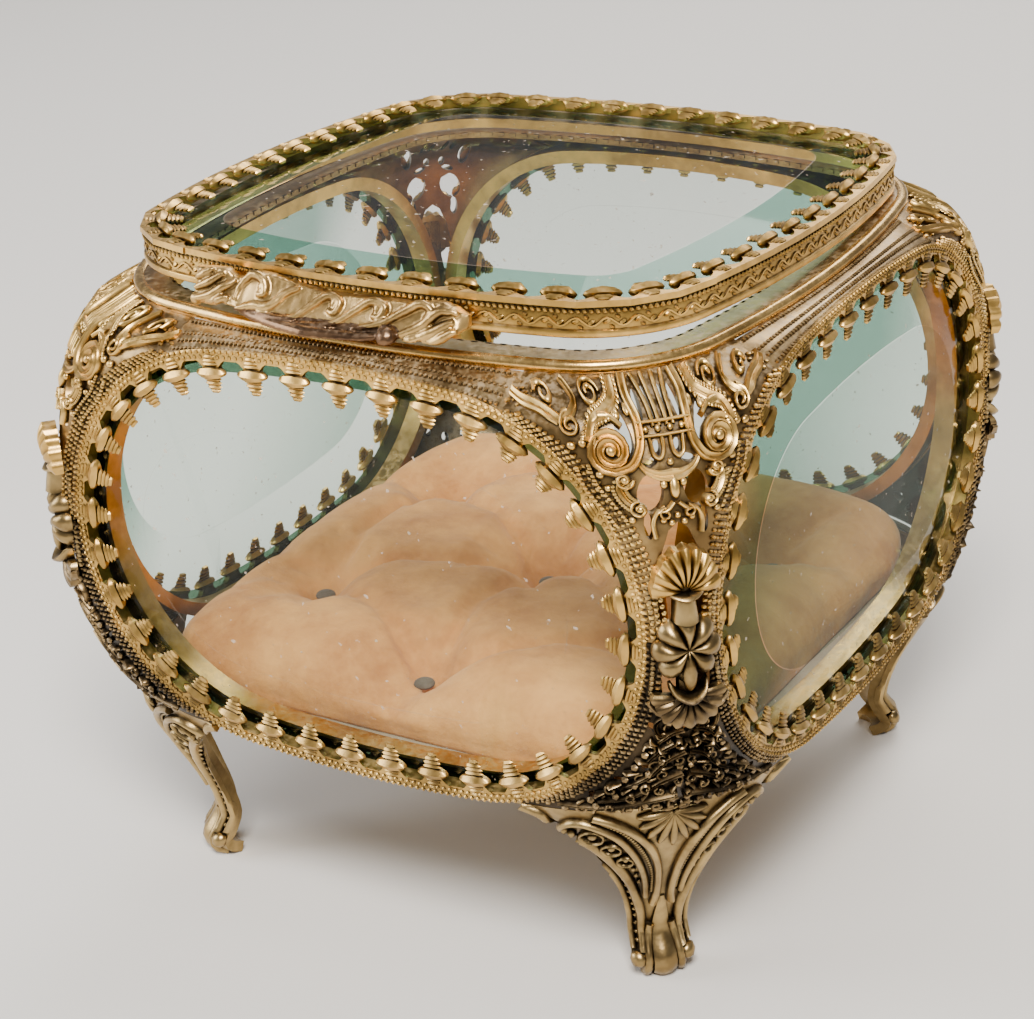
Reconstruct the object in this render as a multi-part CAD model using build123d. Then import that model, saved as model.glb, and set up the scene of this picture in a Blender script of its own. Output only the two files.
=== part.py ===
"""Glass casket box: bevelled glass in claw-set galleries, pierced corner castings, cast feet, hinged lid.

Millimetres, +Z up. The origin is on the ground under the middle of the box, and the front faces -Y.
"""

import os
from math import asin, cos, pi, radians, sin, sqrt

from build123d import *

# ---------------------------------------------------------------- driving dimensions
side_plane = 50.0  # from the middle of the box to the outer face of each gallery
body_bottom_z = 28.55  # underside of the side panels
panel_margin = 6.8  # end of an oval side panel inside the outer face of the next one
panel_half_height = 28.75
panel_bow_rise = 0.75  # top and bottom bows past the round ends

band_depth = 6.5  # how far a gallery runs into the box
band_wall = 0.8
seat_wall = 2.0  # band behind the glass, which the glass rests against
claw_plate = 0.8  # thickness of the folded claws
claw_pitch = 6.5
claw_neck = 1.7
claw_bar = 4.2
claw_bud = 2.2
claw_reach = 4.3
claw_bar_place = 0.45  # share of the reach

glass_thickness = 3.0
glass_edge = 1.6  # what the bevel leaves at the rim of a glass
glass_bevel = 9.5
glass_setback = 0.3  # front of a side glass behind the gallery's front
glass_gap = 0.35  # slack between a glass and the band round it

rim_setback = 3.7  # outer edge of the rim behind the galleries
rim_rise = 1.0  # top of the side panels to the underside of the rim's bead
rim_corner = 19.0
rim_bow = 160.0
rim_flat = 4.6  # length of the flats round the rim
rim_bead_height = 1.8
rim_bead_width = 1.5
rim_bead_soft = 0.55  # sloped edges of the bead
rim_ledge_width = 3.6
rim_ledge_height = 0.8
rim_ledge_drop = 0.4  # ledge below the top of the bead

lid_setback = 1.8  # outer edge of the lid inside the rim's
lid_gap = 0.3  # shut lid above the ledge
lid_lip_height = 1.2
lid_lip_width = 0.35
lid_band_height = 4.7  # underside of the lip to the top of the claws
lid_wall = 0.8
lid_seat_wall = 2.0
lid_ajar = 1.5  # degrees that the lid stands open in its resting place
lid_claw_pitch = 6.3

hinge_width = 24.0
hinge_leaf = 0.7
hinge_leaf_height = 3.4
knuckle_radius = 1.5
pin_radius = 0.6
pin_clearance = 0.06
knuckle_gap = 0.2

filigree_wall = 1.0
corner_flats = 5  # flats round a corner
corner_levels = 5  # flats up each corner casting
pierce_depth = 30.0
filigree_gap = 0.4  # casting beside a band
strip_width = 1.7  # solid border of a corner casting
upper_tip_rise = 10.5  # middle of the panels to where the upper casting closes above the column
lower_tip_drop = 10.7

column_sink = 0.7  # back of the column inside the corner's outermost line
rosette_drop = 0.3  # below the middle of the panels
rosette_height = 5.0  # half of it, and half the width below
rosette_width = 4.4
shell_rise = 6.7  # hinge of the upper shell, which opens upwards
shell_height = 6.2
shell_squeeze = 0.72
drape_drop = 6.3  # hinge of the lower shell, which opens downwards
drape_height = 4.8
drape_squeeze = 1.05
relief = 2.0
relief_top = 0.72  # size of its top, as a share of its foot
neck_width = 2.8
neck_depth = 1.2
collar_width = 4.8
collar_height = 1.4
collar_depth = 1.6
spine_width = 3.2
spine_depth = 1.1
spine_gap = 0.15  # spine beside the castings at its tips

foot_lap = 1.65  # foot up beside the bottom of the panels
foot_wall = 1.6
foot_lug_height = 1.1
lug_inset = 1.6  # its outer end inside the foot's outermost line
lug_length = 10.0
lug_width = 10.0
ankle_reach = 51.2  # outermost point of the ankle along the diagonal
ankle_half_width = 3.7
ankle_wall = 3.2
toe_height = 3.0
sole_length = 8.0
sole_width = 5.6
sole_height = 1.8

base_setback = 3.5  # edge of the base plate inside the galleries' outer faces
base_corner = 22.0
base_thickness = 1.0
board_setback = 7.0
board_corner = 14.0
board_thickness = 1.0

cushion_setback = 7.2
cushion_corner = 15.0
cushion_height = 6.2
cushion_crown = 2.4
cushion_pull_in = 1.4
cushion_shoulder = 3.0  # how far the first slope of the crown runs in
cushion_slope = 12.0  # and the whole crown
soft_corner_flats = 6
tuft_pitch_x = 28.0
tuft_pitch_y = 34.0
tuft_depth = 4.6
tuft_radius = 9.0
tuft_sides = 10
knot_radius = 1.5
knot_height = 0.7

handle_half_length = 20.5
handle_reach = 6.2  # lid face to the front of the handle
handle_height = 5.6
handle_drop = 2.0  # how far it hangs below the lip
handle_sides = 8
handle_web = 1.4

layer_gap = 0.1  # between parts that lie on each other
flange_end_gap = 0.5  # between the top strip of a gallery and the corner castings
flange_flats = 5  # flats on each half of that strip
flange_drop = 2.0  # from the top of a panel to the ends of that strip

# ---------------------------------------------------------------- places worked out from them
panel_centre_z = body_bottom_z + panel_half_height
panel_half_width = side_plane - panel_margin  # outside of the band
panel_end_radius = panel_half_height - panel_bow_rise
base_top_z = body_bottom_z - layer_gap
board_z = base_top_z + layer_gap
board_half = side_plane - board_setback
cushion_z = board_z + board_thickness + layer_gap
cushion_top_z = cushion_z + cushion_height + cushion_crown
cushion_half = side_plane - cushion_setback
foot_top_z = body_bottom_z + foot_lap
upper_tip_z = panel_centre_z + upper_tip_rise
lower_tip_z = panel_centre_z - lower_tip_drop
rim_half = side_plane - rim_setback
rim_bead_z = panel_centre_z + panel_half_height + rim_rise
rim_top_z = rim_bead_z + rim_bead_height
ledge_top_z = rim_top_z - rim_ledge_drop
lid_half = rim_half - lid_setback
lid_z = ledge_top_z + lid_gap
lid_top_z = lid_z + lid_band_height
lid_glass_z = lid_top_z - glass_setback - glass_thickness
hinge_y = rim_half + layer_gap + knuckle_radius
hinge_z = rim_top_z + knuckle_radius + 2 * knuckle_gap
hinge_axis = Axis((0, hinge_y, hinge_z), (-1, 0, 0))
glass_inset = band_wall + glass_gap
lid_glass_inset = lid_lip_width + lid_wall + glass_gap

SIDES = {"front": 0, "right": 90, "back": 180, "left": 270}
CORNERS = {"front_right": 0, "back_right": 90, "back_left": 180, "front_left": 270}


# ---------------------------------------------------------------- outlines
def oval(inset=0.0):
    """The side panel's outline: two round ends joined by shallow bows, drawn in by inset."""
    half_w, half_h, end_r = panel_half_width - inset, panel_half_height - inset, panel_end_radius - inset
    end_x = half_w - end_r
    bow_r = oval_bow_radius() - inset
    reach = end_r / (bow_r - end_r)
    tx, ty = end_x * (1 + reach), (bow_r - half_h) * reach
    return (
        ThreePointArc((tx, -ty), (half_w, 0), (tx, ty))
        + ThreePointArc((tx, ty), (0, half_h), (-tx, ty))
        + ThreePointArc((-tx, ty), (-half_w, 0), (-tx, -ty))
        + ThreePointArc((-tx, -ty), (0, -half_h), (tx, -ty))
    )


def oval_bow_radius():
    end_x = panel_half_width - panel_end_radius
    return (end_x**2 + panel_half_height**2 - panel_end_radius**2) / (2 * panel_bow_rise)


def oval_height(x):
    """Height of the side panel's outline above its middle, at x."""
    end_x = panel_half_width - panel_end_radius
    tangent_x = end_x * oval_bow_radius() / (oval_bow_radius() - panel_end_radius)
    if abs(x) <= tangent_x:
        return panel_half_height - oval_bow_radius() + sqrt(oval_bow_radius() ** 2 - x**2)
    return sqrt(panel_end_radius**2 - (abs(x) - end_x) ** 2)


def corner_edge(z):
    """Where the round corner between two panels begins, at height z beside their round ends."""
    clear_radius = panel_end_radius + filigree_gap
    return panel_half_width - panel_end_radius + sqrt(clear_radius**2 - (z - panel_centre_z) ** 2)


def corner_centre(half, corner_r, bow_r):
    """Where the corner arc of a bowed square has its centre, on both axes."""
    rise = bow_r - half
    return (sqrt(2 * (bow_r - corner_r) ** 2 - rise**2) - rise) / 2


def bowed_square(half, corner_r, bow_r, inset=0.0):
    """A rounded square with slightly bowed sides, drawn in by inset."""
    k = corner_centre(half, corner_r, bow_r)
    reach = (corner_r - inset) / (bow_r - corner_r)
    near, far = k * (1 + reach), k + (k - half + bow_r) * reach
    mid, diag = half - inset, k + (corner_r - inset) / sqrt(2)
    wire = Curve()
    for quarter in range(4):
        side = ThreePointArc((near, -far), (0, -mid), (-near, -far))
        corner = ThreePointArc((-near, -far), (-diag, -diag), (-far, -near))
        wire += Rot(0, 0, -90 * quarter) * (side + corner)
    return wire


def rim_outline(inset=0.0):
    return bowed_square(rim_half, rim_corner, rim_bow, inset)


def lid_outline(inset=0.0):
    return rim_outline(lid_setback + inset)


def rounded_ring(half, corner, z):
    """Points of a rounded square at height z, with flats for its corners."""
    points = []
    reach = (half - corner) * sqrt(2)
    for quarter in range(4):
        middle = pi / 4 + pi / 2 * quarter
        x, y = reach * cos(middle), reach * sin(middle)
        for i in range(soft_corner_flats + 1):
            angle = pi / 2 * (quarter + i / soft_corner_flats)
            points.append((x + corner * cos(angle), y + corner * sin(angle), z))
    return points


def face_through(points):
    return Face(Wire.make_polygon([Vector(*point) for point in points]))


def skin(rings, twisted=False):
    """Solid with flat faces through a stack of rings of points; twisted strips are split into triangles."""
    faces = [face_through(rings[0]), face_through(rings[-1])]
    for low, high in zip(rings, rings[1:]):
        for i in range(len(low)):
            a, b, c, d = low[i - 1], low[i], high[i], high[i - 1]
            corners = [(a, b, c), (a, c, d)] if twisted else [(a, b, c, d)]
            faces += [face_through(points) for points in corners]
    return Solid(Shell(faces))


# ---------------------------------------------------------------- claw galleries and glasses
def inward_of(at, along):
    """Direction square to along that points to the middle of the outline."""
    left = Vector(-along.Y, along.X)
    return left if left.dot(at) < 0 else -left


def claw_stations(outline, pitch, inset):
    """The middles of the gaps between claws, evenly spaced along the outline and drawn in by inset."""
    wire = Wire(outline(0).edges())
    count = 4 * round(wire.length / pitch / 4)
    points = []
    for i in range(count):
        at, along = wire.position_at((i + 0.5) / count), wire.tangent_at((i + 0.5) / count)
        points.append(at + inward_of(at, along) * inset)
    return points


def gallery(outline, pitch, inset):
    """Straight-sided loop with one short flat for each claw."""
    return make_face(Polyline(claw_stations(outline, pitch, inset), close=True))


def gallery_ring(outline, pitch, inset, z):
    return [(point.X, point.Y, z) for point in claw_stations(outline, pitch, inset)]


def claw_fringe(outline, pitch, inset):
    """The loop of a gallery with a claw standing inwards on each flat: neck, pointed bar and bud."""
    points = claw_stations(outline, pitch, inset)
    loop = []
    for here, there in zip(points, points[1:] + points[:1]):
        along = (there - here).normalized()
        middle = (here + there) / 2
        inward = inward_of(middle, along)
        half = [(claw_neck / 2, 0.0), (claw_bar / 2, claw_bar_place * claw_reach), (claw_bud / 2, claw_reach)]
        loop.append(here)
        loop += [middle - along * x + inward * y for x, y in half]
        loop += [middle + along * x + inward * y for x, y in reversed(half)]
    return make_face(Polyline(loop, close=True))


def side_frame():
    """One gallery in its own plane: x along the side, y up, z out of the box, front at z = 0."""
    seat_z = -glass_setback - glass_thickness
    outer = gallery(oval, claw_pitch, 0)
    claws = Pos(0, 0, -claw_plate) * extrude(outer - claw_fringe(oval, claw_pitch, band_wall), claw_plate)
    band = outer - gallery(oval, claw_pitch, band_wall)
    seat = outer - gallery(oval, claw_pitch, seat_wall)
    frame = claws + Pos(0, 0, seat_z) * extrude(band, -seat_z - claw_plate)
    return frame + Pos(0, 0, -band_depth) * extrude(seat, band_depth + seat_z)


def rim_flange():
    """The sloping strip from the top of the front gallery back to the rim, in the box's frame."""
    half_low = corner_edge(flange_low_z()) - flange_end_gap
    half_high = corner_centre(rim_half, rim_corner, rim_bow) - flange_end_gap
    top_z = rim_bead_z - layer_gap
    sections = []
    for i in range(-flange_flats, flange_flats + 1):
        low_x, high_x = half_low * i / flange_flats, half_high * i / flange_flats
        low_z = panel_centre_z + oval_height(low_x)
        back_y = rim_bow - rim_half - sqrt(rim_bow**2 - high_x**2)
        sections.append([
            (low_x, -side_plane, low_z - layer_gap), (high_x, back_y, top_z),
            (high_x, back_y, top_z - band_wall), (low_x, -side_plane, low_z - band_wall)])
    return skin(sections, twisted=True)


def flange_low_z():
    """Height where the bow of the panel ends and the corner casting takes over."""
    return panel_centre_z + panel_half_height - flange_drop


def glass_sheet(outline, pitch, inset):
    """A bevelled glass with its flat back at z = 0, cut to the flats of its gallery."""
    rings = [gallery_ring(outline, pitch, at, z) for z, at in (
        (0.0, inset), (glass_edge, inset), (glass_thickness, inset + glass_bevel))]
    return skin(rings, twisted=True)


def front_place():
    return Plane(origin=(0, -side_plane, panel_centre_z), x_dir=(1, 0, 0), z_dir=(0, -1, 0)).location


# ---------------------------------------------------------------- corner castings
def corner_ring(centre, radius, z, wall=filigree_wall):
    """Thin quarter ring round the front right corner at height z, in flats that line up at all heights."""
    def at(r, i):
        angle = -pi / 2 * i / corner_flats
        return centre + r * cos(angle), -centre + r * sin(angle), z

    outer = [at(radius, i) for i in range(corner_flats + 1)]
    inner = [at(radius - wall, i) for i in range(corner_flats, -1, -1)]
    return outer + inner


def corner_section(z):
    """Section of the corner between two neighbouring panels at height z."""
    return corner_ring(corner_edge(z), side_plane - corner_edge(z), z)


def corner_apex(z):
    """How far out the corner reaches along the diagonal at height z."""
    return side_plane + corner_edge(z) * (sqrt(2) - 1)


def corner_sections(low_z, high_z):
    """Sections of the corner from one height to another, at even turns of the panels' round ends."""
    low, high = (asin((z - panel_centre_z) / panel_end_radius) for z in (low_z, high_z))
    turns = [low + (high - low) * i / corner_levels for i in range(corner_levels + 1)]
    return [corner_section(panel_centre_z + panel_end_radius * sin(turn)) for turn in turns]


def diagonal_plane(distance):
    """Plane across the front right corner: x to the right along it, y up, z outwards."""
    s = 1 / sqrt(2)
    return Plane(origin=(distance * s, -distance * s, 0), x_dir=(s, s, 0), z_dir=(s, -s, 0))


def pierce(sketch):
    """A cutter with the sketch's shape, right through the corner."""
    outside = diagonal_plane(corner_apex(panel_centre_z) + pierce_depth / 2)
    return extrude(outside.location * sketch, -pierce_depth)


def both(sketch):
    return sketch + mirror(sketch, Plane.YZ)


def column_opening(middle_z, tip_z):
    """The open middle of the corner between the two border strips, narrowing to the spine at its tip."""
    half = panel_margin * sin(pi / 4) - strip_width / 2
    tip_half = spine_width / 2 + spine_gap
    shoulder = middle_z + 0.7 * (tip_z - middle_z)
    points = [(-half, middle_z), (half, middle_z), (half, shoulder), (tip_half, tip_z), (-tip_half, tip_z),
              (-half, shoulder)]
    return make_face(Polyline(points, close=True))


def lens(x, y, length, width, tilt):
    """A hole with pointed ends."""
    a, b = length / 2, width / 2
    points = [(-a, 0), (-a / 3, b), (a / 3, b), (a, 0), (a / 3, -b), (-a / 3, -b)]
    return Pos(x, y) * Rot(0, 0, tilt) * make_face(Polyline(points, close=True))


def slot(x, y, width, height, tilt=0):
    return Pos(x, y) * Rot(0, 0, tilt) * Rectangle(width, height)


def upper_piercing():
    """Lyre with its strings between two volutes, over a hanging leaf."""
    top = rim_bead_z
    eyes = lens(4.0, top - 7.2, 6.2, 2.0, 105)
    strings = slot(1.35, top - 2.9, 1.4, 2.6, -6)
    shoulders = slot(5.1, top - 2.0, 1.9, 1.8, -12) + slot(9.6, top - 3.1, 2.0, 2.2, -20)
    leaf = slot(3.0, top - 12.9, 1.9, 4.2, -20)
    return both(eyes + strings + shoulders + leaf)


def lower_piercing():
    """Close scrollwork, smaller than the upper one."""
    top = lower_tip_z
    side = slot(3.6, top - 5.6, 1.7, 3.2, 25) + slot(7.0, top - 10.4, 1.7, 3.0, 50)
    return slot(0, top - 4.0, 1.5, 3.0) + both(side)


def upper_casting():
    low_z = panel_centre_z + layer_gap
    k = corner_centre(rim_half, rim_corner, rim_bow)
    top = corner_ring(k, rim_corner, rim_bead_z - layer_gap)
    shell = skin([*corner_sections(low_z, flange_low_z()), top])
    return shell - pierce(column_opening(low_z - 1, upper_tip_z)) - pierce(upper_piercing())


def lower_casting():
    high_z = panel_centre_z - layer_gap
    shell = skin(corner_sections(foot_top_z + layer_gap, high_z))
    return shell - pierce(column_opening(high_z + 1, lower_tip_z)) - pierce(lower_piercing())


# ---------------------------------------------------------------- corner column
def lobed(count, valley, lobe, squeeze=1.0, spread=2 * pi, start=0.0):
    """Points of a lobed outline: a valley and the two shoulders of a lobe, count times."""
    points = []
    step = spread / count
    for i in range(count):
        for turn, radius in ((0.0, valley), (0.3, lobe), (0.7, lobe)):
            angle = start + (i + turn) * step
            points.append((squeeze * radius * cos(angle), radius * sin(angle)))
    return points


def cast(points, middle=0.0):
    """A relief whose sides slope in towards its middle."""
    low = [(x, y, 0) for x, y in points]
    high = [(relief_top * x, middle + relief_top * (y - middle), relief) for x, y in points]
    return skin([low, high])


def corner_column():
    """Scallop shell over a rosette over a spread lower shell, on a narrow spine."""
    shell_z = panel_centre_z + shell_rise
    drape_z = panel_centre_z - drape_drop
    hinge_half = 0.15 * rosette_height
    span, start = radians(150), radians(15)
    spine = Pos(0, (upper_tip_z + lower_tip_z) / 2, -spine_depth / 2) * Box(
        spine_width, upper_tip_z - lower_tip_z - 2 * layer_gap, spine_depth)
    rosette = lobed(8, 0.8 * rosette_height, rosette_height, rosette_width / rosette_height)
    fan = lobed(5, 0.88 * shell_height, shell_height, shell_squeeze, span, start)
    drape = lobed(3, 0.8 * drape_height, drape_height, drape_squeeze, span, start + pi)
    column = spine + Pos(0, panel_centre_z - rosette_drop) * cast(rosette)
    column += Pos(0, shell_z) * cast([(hinge_half, 0), *fan, (-hinge_half, 0)], shell_height / 2)
    column += Pos(0, drape_z) * cast([(-hinge_half, 0), *drape, (hinge_half, 0)], -drape_height / 2)
    neck_length = shell_z - drape_z + neck_depth
    column += Pos(0, (drape_z + shell_z) / 2, neck_depth / 2) * Box(neck_width, neck_length, neck_depth)
    for z in (shell_z, drape_z):
        column += Pos(0, z, collar_depth / 2) * Box(collar_width, collar_height, collar_depth)
    return diagonal_plane(corner_apex(panel_centre_z) - column_sink).location * column


# ---------------------------------------------------------------- feet
def foot():
    """Cast bracket foot: wide where it meets the corner, concave sides, narrow ankle and a rounded toe."""
    top_apex = corner_apex(foot_top_z)
    top_half = (side_plane - corner_edge(foot_top_z)) / sqrt(2)
    stations = [  # share of the height, of the way out to the top's reach, of the way to its half width; wall
        (1.0, 1.0, 1.0, foot_wall),
        (0.845, 0.93, 0.53, foot_wall),
        (0.66, 0.63, 0.26, 1.15 * foot_wall),
        (0.43, 0.23, 0.06, 1.4 * foot_wall),
        (0.23, 0.0, 0.0, 0.8 * ankle_wall),
        (toe_height / foot_top_z, 0.02, 0.03, ankle_wall),
        (0.0, 0.0, 0.01, ankle_wall),
    ]
    rings = []
    for rise, out, spread, wall in stations:
        apex = ankle_reach + out * (top_apex - ankle_reach)
        radius = (ankle_half_width + spread * (top_half - ankle_half_width)) * sqrt(2)
        rings.append(corner_ring((apex - radius) / sqrt(2), radius, rise * foot_top_z, wall))
    turned = Rot(0, 0, -45)
    lug = turned * Pos(top_apex - lug_inset, 0, base_top_z - base_thickness - layer_gap) * Box(
        lug_length, lug_width, foot_lug_height, align=(Align.MAX, Align.CENTER, Align.MAX))
    sole = turned * Pos(ankle_reach - sole_length / 2) * Box(
        sole_length, sole_width, sole_height, align=(Align.CENTER, Align.CENTER, Align.MIN))
    return skin(rings) + lug + sole


# ---------------------------------------------------------------- rim, base and board
def top_rim():
    """Convex bead with a narrow ledge inside it for the lid."""
    def loop(inset):
        return gallery(rim_outline, rim_flat, inset)

    levels = [
        (rim_bead_z, rim_bead_soft), (rim_bead_z + rim_bead_soft, 0.0),
        (rim_top_z - rim_bead_soft, 0.0), (rim_top_z, rim_bead_soft)]
    bead = skin([gallery_ring(rim_outline, rim_flat, inset, z) for z, inset in levels], twisted=True)
    bead -= Pos(0, 0, rim_bead_z) * extrude(loop(rim_bead_width), rim_bead_height)
    ledge = loop(rim_bead_width) - loop(rim_bead_width + rim_ledge_width)
    return bead + Pos(0, 0, ledge_top_z - rim_ledge_height) * extrude(ledge, rim_ledge_height)


def flat_plate(half, corner, z, thickness):
    return skin([rounded_ring(half, corner, z), rounded_ring(half, corner, z + thickness)])


# ---------------------------------------------------------------- cushion
def tuft_places():
    """Staggered rows: three down the middle, two on each side."""
    middle = [(0, tuft_pitch_y * i) for i in (-1, 0, 1)]
    sides = [(side * tuft_pitch_x, tuft_pitch_y * i) for side in (-1, 1) for i in (-0.5, 0.5)]
    return middle + sides


def polygon_ring(radius, z):
    turns = [2 * pi * i / tuft_sides for i in range(tuft_sides)]
    return [(radius * cos(turn), radius * sin(turn), z) for turn in turns]


def tuft_bottom_z():
    return cushion_top_z - tuft_depth


def cushion():
    """Tufted pad: sides drawn in below, a low crown and a dimple at each thread."""
    levels = [  # height, inset
        (cushion_z, cushion_pull_in),
        (cushion_z + 0.45 * cushion_height, 0.0),
        (cushion_z + 0.85 * cushion_height, cushion_shoulder),
        (cushion_top_z, cushion_slope),
    ]
    body = skin([rounded_ring(cushion_half - inset, cushion_corner - inset, z) for z, inset in levels])
    above_z = cushion_top_z + layer_gap
    dimple = skin([polygon_ring(1.2 * knot_radius, tuft_bottom_z()), polygon_ring(tuft_radius, above_z)])
    for x, y in tuft_places():
        body -= Pos(x, y) * dimple
    return body


def knot():
    return Pos(0, 0, tuft_bottom_z()) * extrude(RegularPolygon(knot_radius, 8), knot_height)


# ---------------------------------------------------------------- lid
def lid_frame():
    """Band with a smooth lower lip, a seat under the glass and claws folded over it."""
    def loop(inset):
        return gallery(lid_outline, lid_claw_pitch, inset)

    wall_in = lid_lip_width + lid_wall
    seat_in = lid_lip_width + lid_seat_wall
    claw_z = lid_top_z - claw_plate
    lip = Pos(0, 0, lid_z) * extrude(loop(0) - loop(seat_in), lid_lip_height)
    band = Pos(0, 0, lid_z) * extrude(loop(lid_lip_width) - loop(wall_in), claw_z - lid_z)
    seat = Pos(0, 0, lid_z) * extrude(loop(lid_lip_width) - loop(seat_in), lid_glass_z - lid_z)
    claws = Pos(0, 0, claw_z) * extrude(
        loop(lid_lip_width) - claw_fringe(lid_outline, lid_claw_pitch, wall_in), claw_plate)
    return lip + band + seat + claws


def lid_glass():
    return Pos(0, 0, lid_glass_z) * glass_sheet(lid_outline, lid_claw_pitch, lid_glass_inset)


def lift_handle():
    """Cast scroll bar in front of the lid, hung from a web on the lid's face."""
    face_y = -lid_half - layer_gap
    back_y = -rim_half - 2 * layer_gap
    depth = back_y - face_y + handle_reach
    stations = [  # share of the half length, of the height and of the depth, and how high its middle lies
        (-1.0, 0.60, 0.50, 0.21), (-0.86, 0.92, 0.72, 0.18), (-0.68, 0.88, 0.80, 0.16),
        (-0.55, 0.62, 0.75, 0.12), (-0.3, 0.86, 1.0, 0.0), (-0.05, 0.74, 0.95, -0.02),
        (0.2, 0.84, 1.0, 0.0), (0.45, 0.6, 0.8, 0.09),
        (0.62, 0.78, 0.85, 0.16), (0.85, 0.92, 0.75, 0.18), (1.0, 0.55, 0.45, 0.23)]
    rings = []
    for along, tall, deep, lift in stations:
        y = back_y - deep * depth / 2
        z = lid_z - handle_drop + handle_height * (0.5 + lift)
        turns = [pi / handle_sides * (2 * i + 1) for i in range(handle_sides)]
        rings.append([(along * handle_half_length, y + deep * depth / 2 * cos(turn),
                       z + tall * handle_height / 2 * sin(turn)) for turn in turns])
    web_reach = face_y - back_y + depth / 4
    web = Pos(0, face_y, lid_z + lid_lip_height) * Box(
        1.5 * handle_half_length, web_reach, handle_web, align=(Align.CENTER, Align.MAX, Align.MIN))
    return skin(rings, twisted=True) + web


def hinge_plate(width, y_near, z0, z1):
    return Pos(0, y_near, z0) * Box(width, hinge_leaf, z1 - z0, align=(Align.CENTER, Align.MIN, Align.MIN))


def knuckle(x0, x1, y_plate):
    """A barrel from x0 to x1 with a web to its plate, bored for the pin."""
    middle, length = (x0 + x1) / 2, x1 - x0
    barrel = Pos(middle, hinge_y, hinge_z) * Rot(0, 90, 0) * Cylinder(knuckle_radius, length)
    web = Pos(middle, (hinge_y + y_plate) / 2, hinge_z) * Box(length, abs(y_plate - hinge_y), hinge_leaf)
    bore = Pos(middle, hinge_y, hinge_z) * Rot(0, 90, 0) * Cylinder(pin_radius + pin_clearance, length)
    return barrel + web - bore


def hinge_body_leaf():
    """Outer leaf: plate on the rim's back, with two end knuckles."""
    leaf_y = rim_half + layer_gap
    third = hinge_width / 3
    low_z = hinge_z - hinge_leaf_height
    leaf = hinge_plate(hinge_width, leaf_y, low_z, hinge_z - knuckle_radius - knuckle_gap)
    for side in (-1, 1):
        inner, outer = side * (third / 2 + knuckle_gap), side * 1.5 * third
        x0, x1 = min(inner, outer), max(inner, outer)
        tab = hinge_plate(x1 - x0, leaf_y, low_z, hinge_z)
        leaf += Pos((x0 + x1) / 2, 0, 0) * tab + knuckle(x0, x1, leaf_y + hinge_leaf)
    return leaf


def hinge_lid_leaf():
    """Inner leaf: plate on the lid's back, with the middle knuckle."""
    leaf_y = lid_half + layer_gap
    half = hinge_width / 6
    low_z = hinge_z - hinge_leaf / 2
    leaf = hinge_plate(hinge_width, leaf_y, low_z, low_z + hinge_leaf_height)
    return leaf + knuckle(-half, half, leaf_y)


def hinge_pin():
    return Pos(0, hinge_y, hinge_z) * Rot(0, 90, 0) * Cylinder(pin_radius, hinge_width + 0.8)


# ---------------------------------------------------------------- assembly
def save(shape, node):
    export_step(shape, f"parts/{node}.step")


def main():
    os.makedirs("parts", exist_ok=True)

    frame = front_place() * side_frame() + rim_flange()
    seat_z = -glass_setback - glass_thickness
    side_glass = front_place() * Pos(0, 0, seat_z) * glass_sheet(oval, claw_pitch, glass_inset)
    for side, turn in SIDES.items():
        save(Rot(0, 0, turn) * frame, f"{side}_frame")
        save(Rot(0, 0, turn) * side_glass, f"{side}_glass")

    corner_parts = {
        "upper_filigree": upper_casting(),
        "lower_filigree": lower_casting(),
        "corner_column": corner_column(),
        "foot": foot(),
    }
    for corner, turn in CORNERS.items():
        for name, shape in corner_parts.items():
            save(Rot(0, 0, turn) * shape, f"{name}_{corner}")

    save(top_rim(), "top_rim")
    base_half = side_plane - base_setback
    save(flat_plate(base_half, base_corner, base_top_z - base_thickness, base_thickness), "base_plate")
    save(flat_plate(board_half, board_corner, board_z, board_thickness), "cushion_board")
    save(cushion(), "cushion")
    save(Compound(children=[Pos(x, y) * knot() for x, y in tuft_places()]), "cushion_tufts")

    save(hinge_body_leaf(), "hinge_body_leaf")
    save(hinge_pin(), "hinge_pin")
    lid_parts = {
        "lid_frame": lid_frame(),
        "lid_glass": lid_glass(),
        "lift_handle": lift_handle(),
        "hinge_lid_leaf": hinge_lid_leaf(),
    }
    for name, shape in lid_parts.items():
        save(shape.rotate(hinge_axis, lid_ajar), name)


main()
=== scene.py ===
# %% [markdown]
# # A glass casket box, dressed for its portrait
#
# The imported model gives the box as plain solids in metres. This lesson dresses them: each cell makes one
# piece or one finish of the real box, and puts it where the plain solid is. It starts by loading that frame.

from math import asin, atan2, cos, hypot, pi, radians, sin, sqrt

import bmesh
import bpy
from mathutils import Matrix, Vector, noise


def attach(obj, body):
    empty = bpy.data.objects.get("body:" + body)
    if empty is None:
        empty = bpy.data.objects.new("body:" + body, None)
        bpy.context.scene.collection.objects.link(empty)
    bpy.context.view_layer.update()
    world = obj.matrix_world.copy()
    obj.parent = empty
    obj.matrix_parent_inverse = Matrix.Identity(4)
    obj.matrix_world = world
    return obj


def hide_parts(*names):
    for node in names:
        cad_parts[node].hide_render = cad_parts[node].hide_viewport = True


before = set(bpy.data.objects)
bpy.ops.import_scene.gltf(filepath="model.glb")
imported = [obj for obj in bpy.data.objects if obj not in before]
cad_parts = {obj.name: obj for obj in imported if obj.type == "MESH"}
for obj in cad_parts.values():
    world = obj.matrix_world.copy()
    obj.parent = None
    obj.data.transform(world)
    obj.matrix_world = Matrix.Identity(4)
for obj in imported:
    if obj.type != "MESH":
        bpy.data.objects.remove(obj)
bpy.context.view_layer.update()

# %% [markdown]
# All shapes below are drawn in millimetres, because that is how such a box is measured. A piece is scaled to
# metres once, in its mesh, when it is finished, so its object stays at the origin, unturned and unscaled.

# %% Units and the finishing of a piece
MM = 0.001
SIDE_TURNS = {"front": 0, "right": 90, "back": 180, "left": 270}
CORNER_TURNS = {"front_right": 0, "back_right": 90, "back_left": 180, "front_left": 270}


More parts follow.
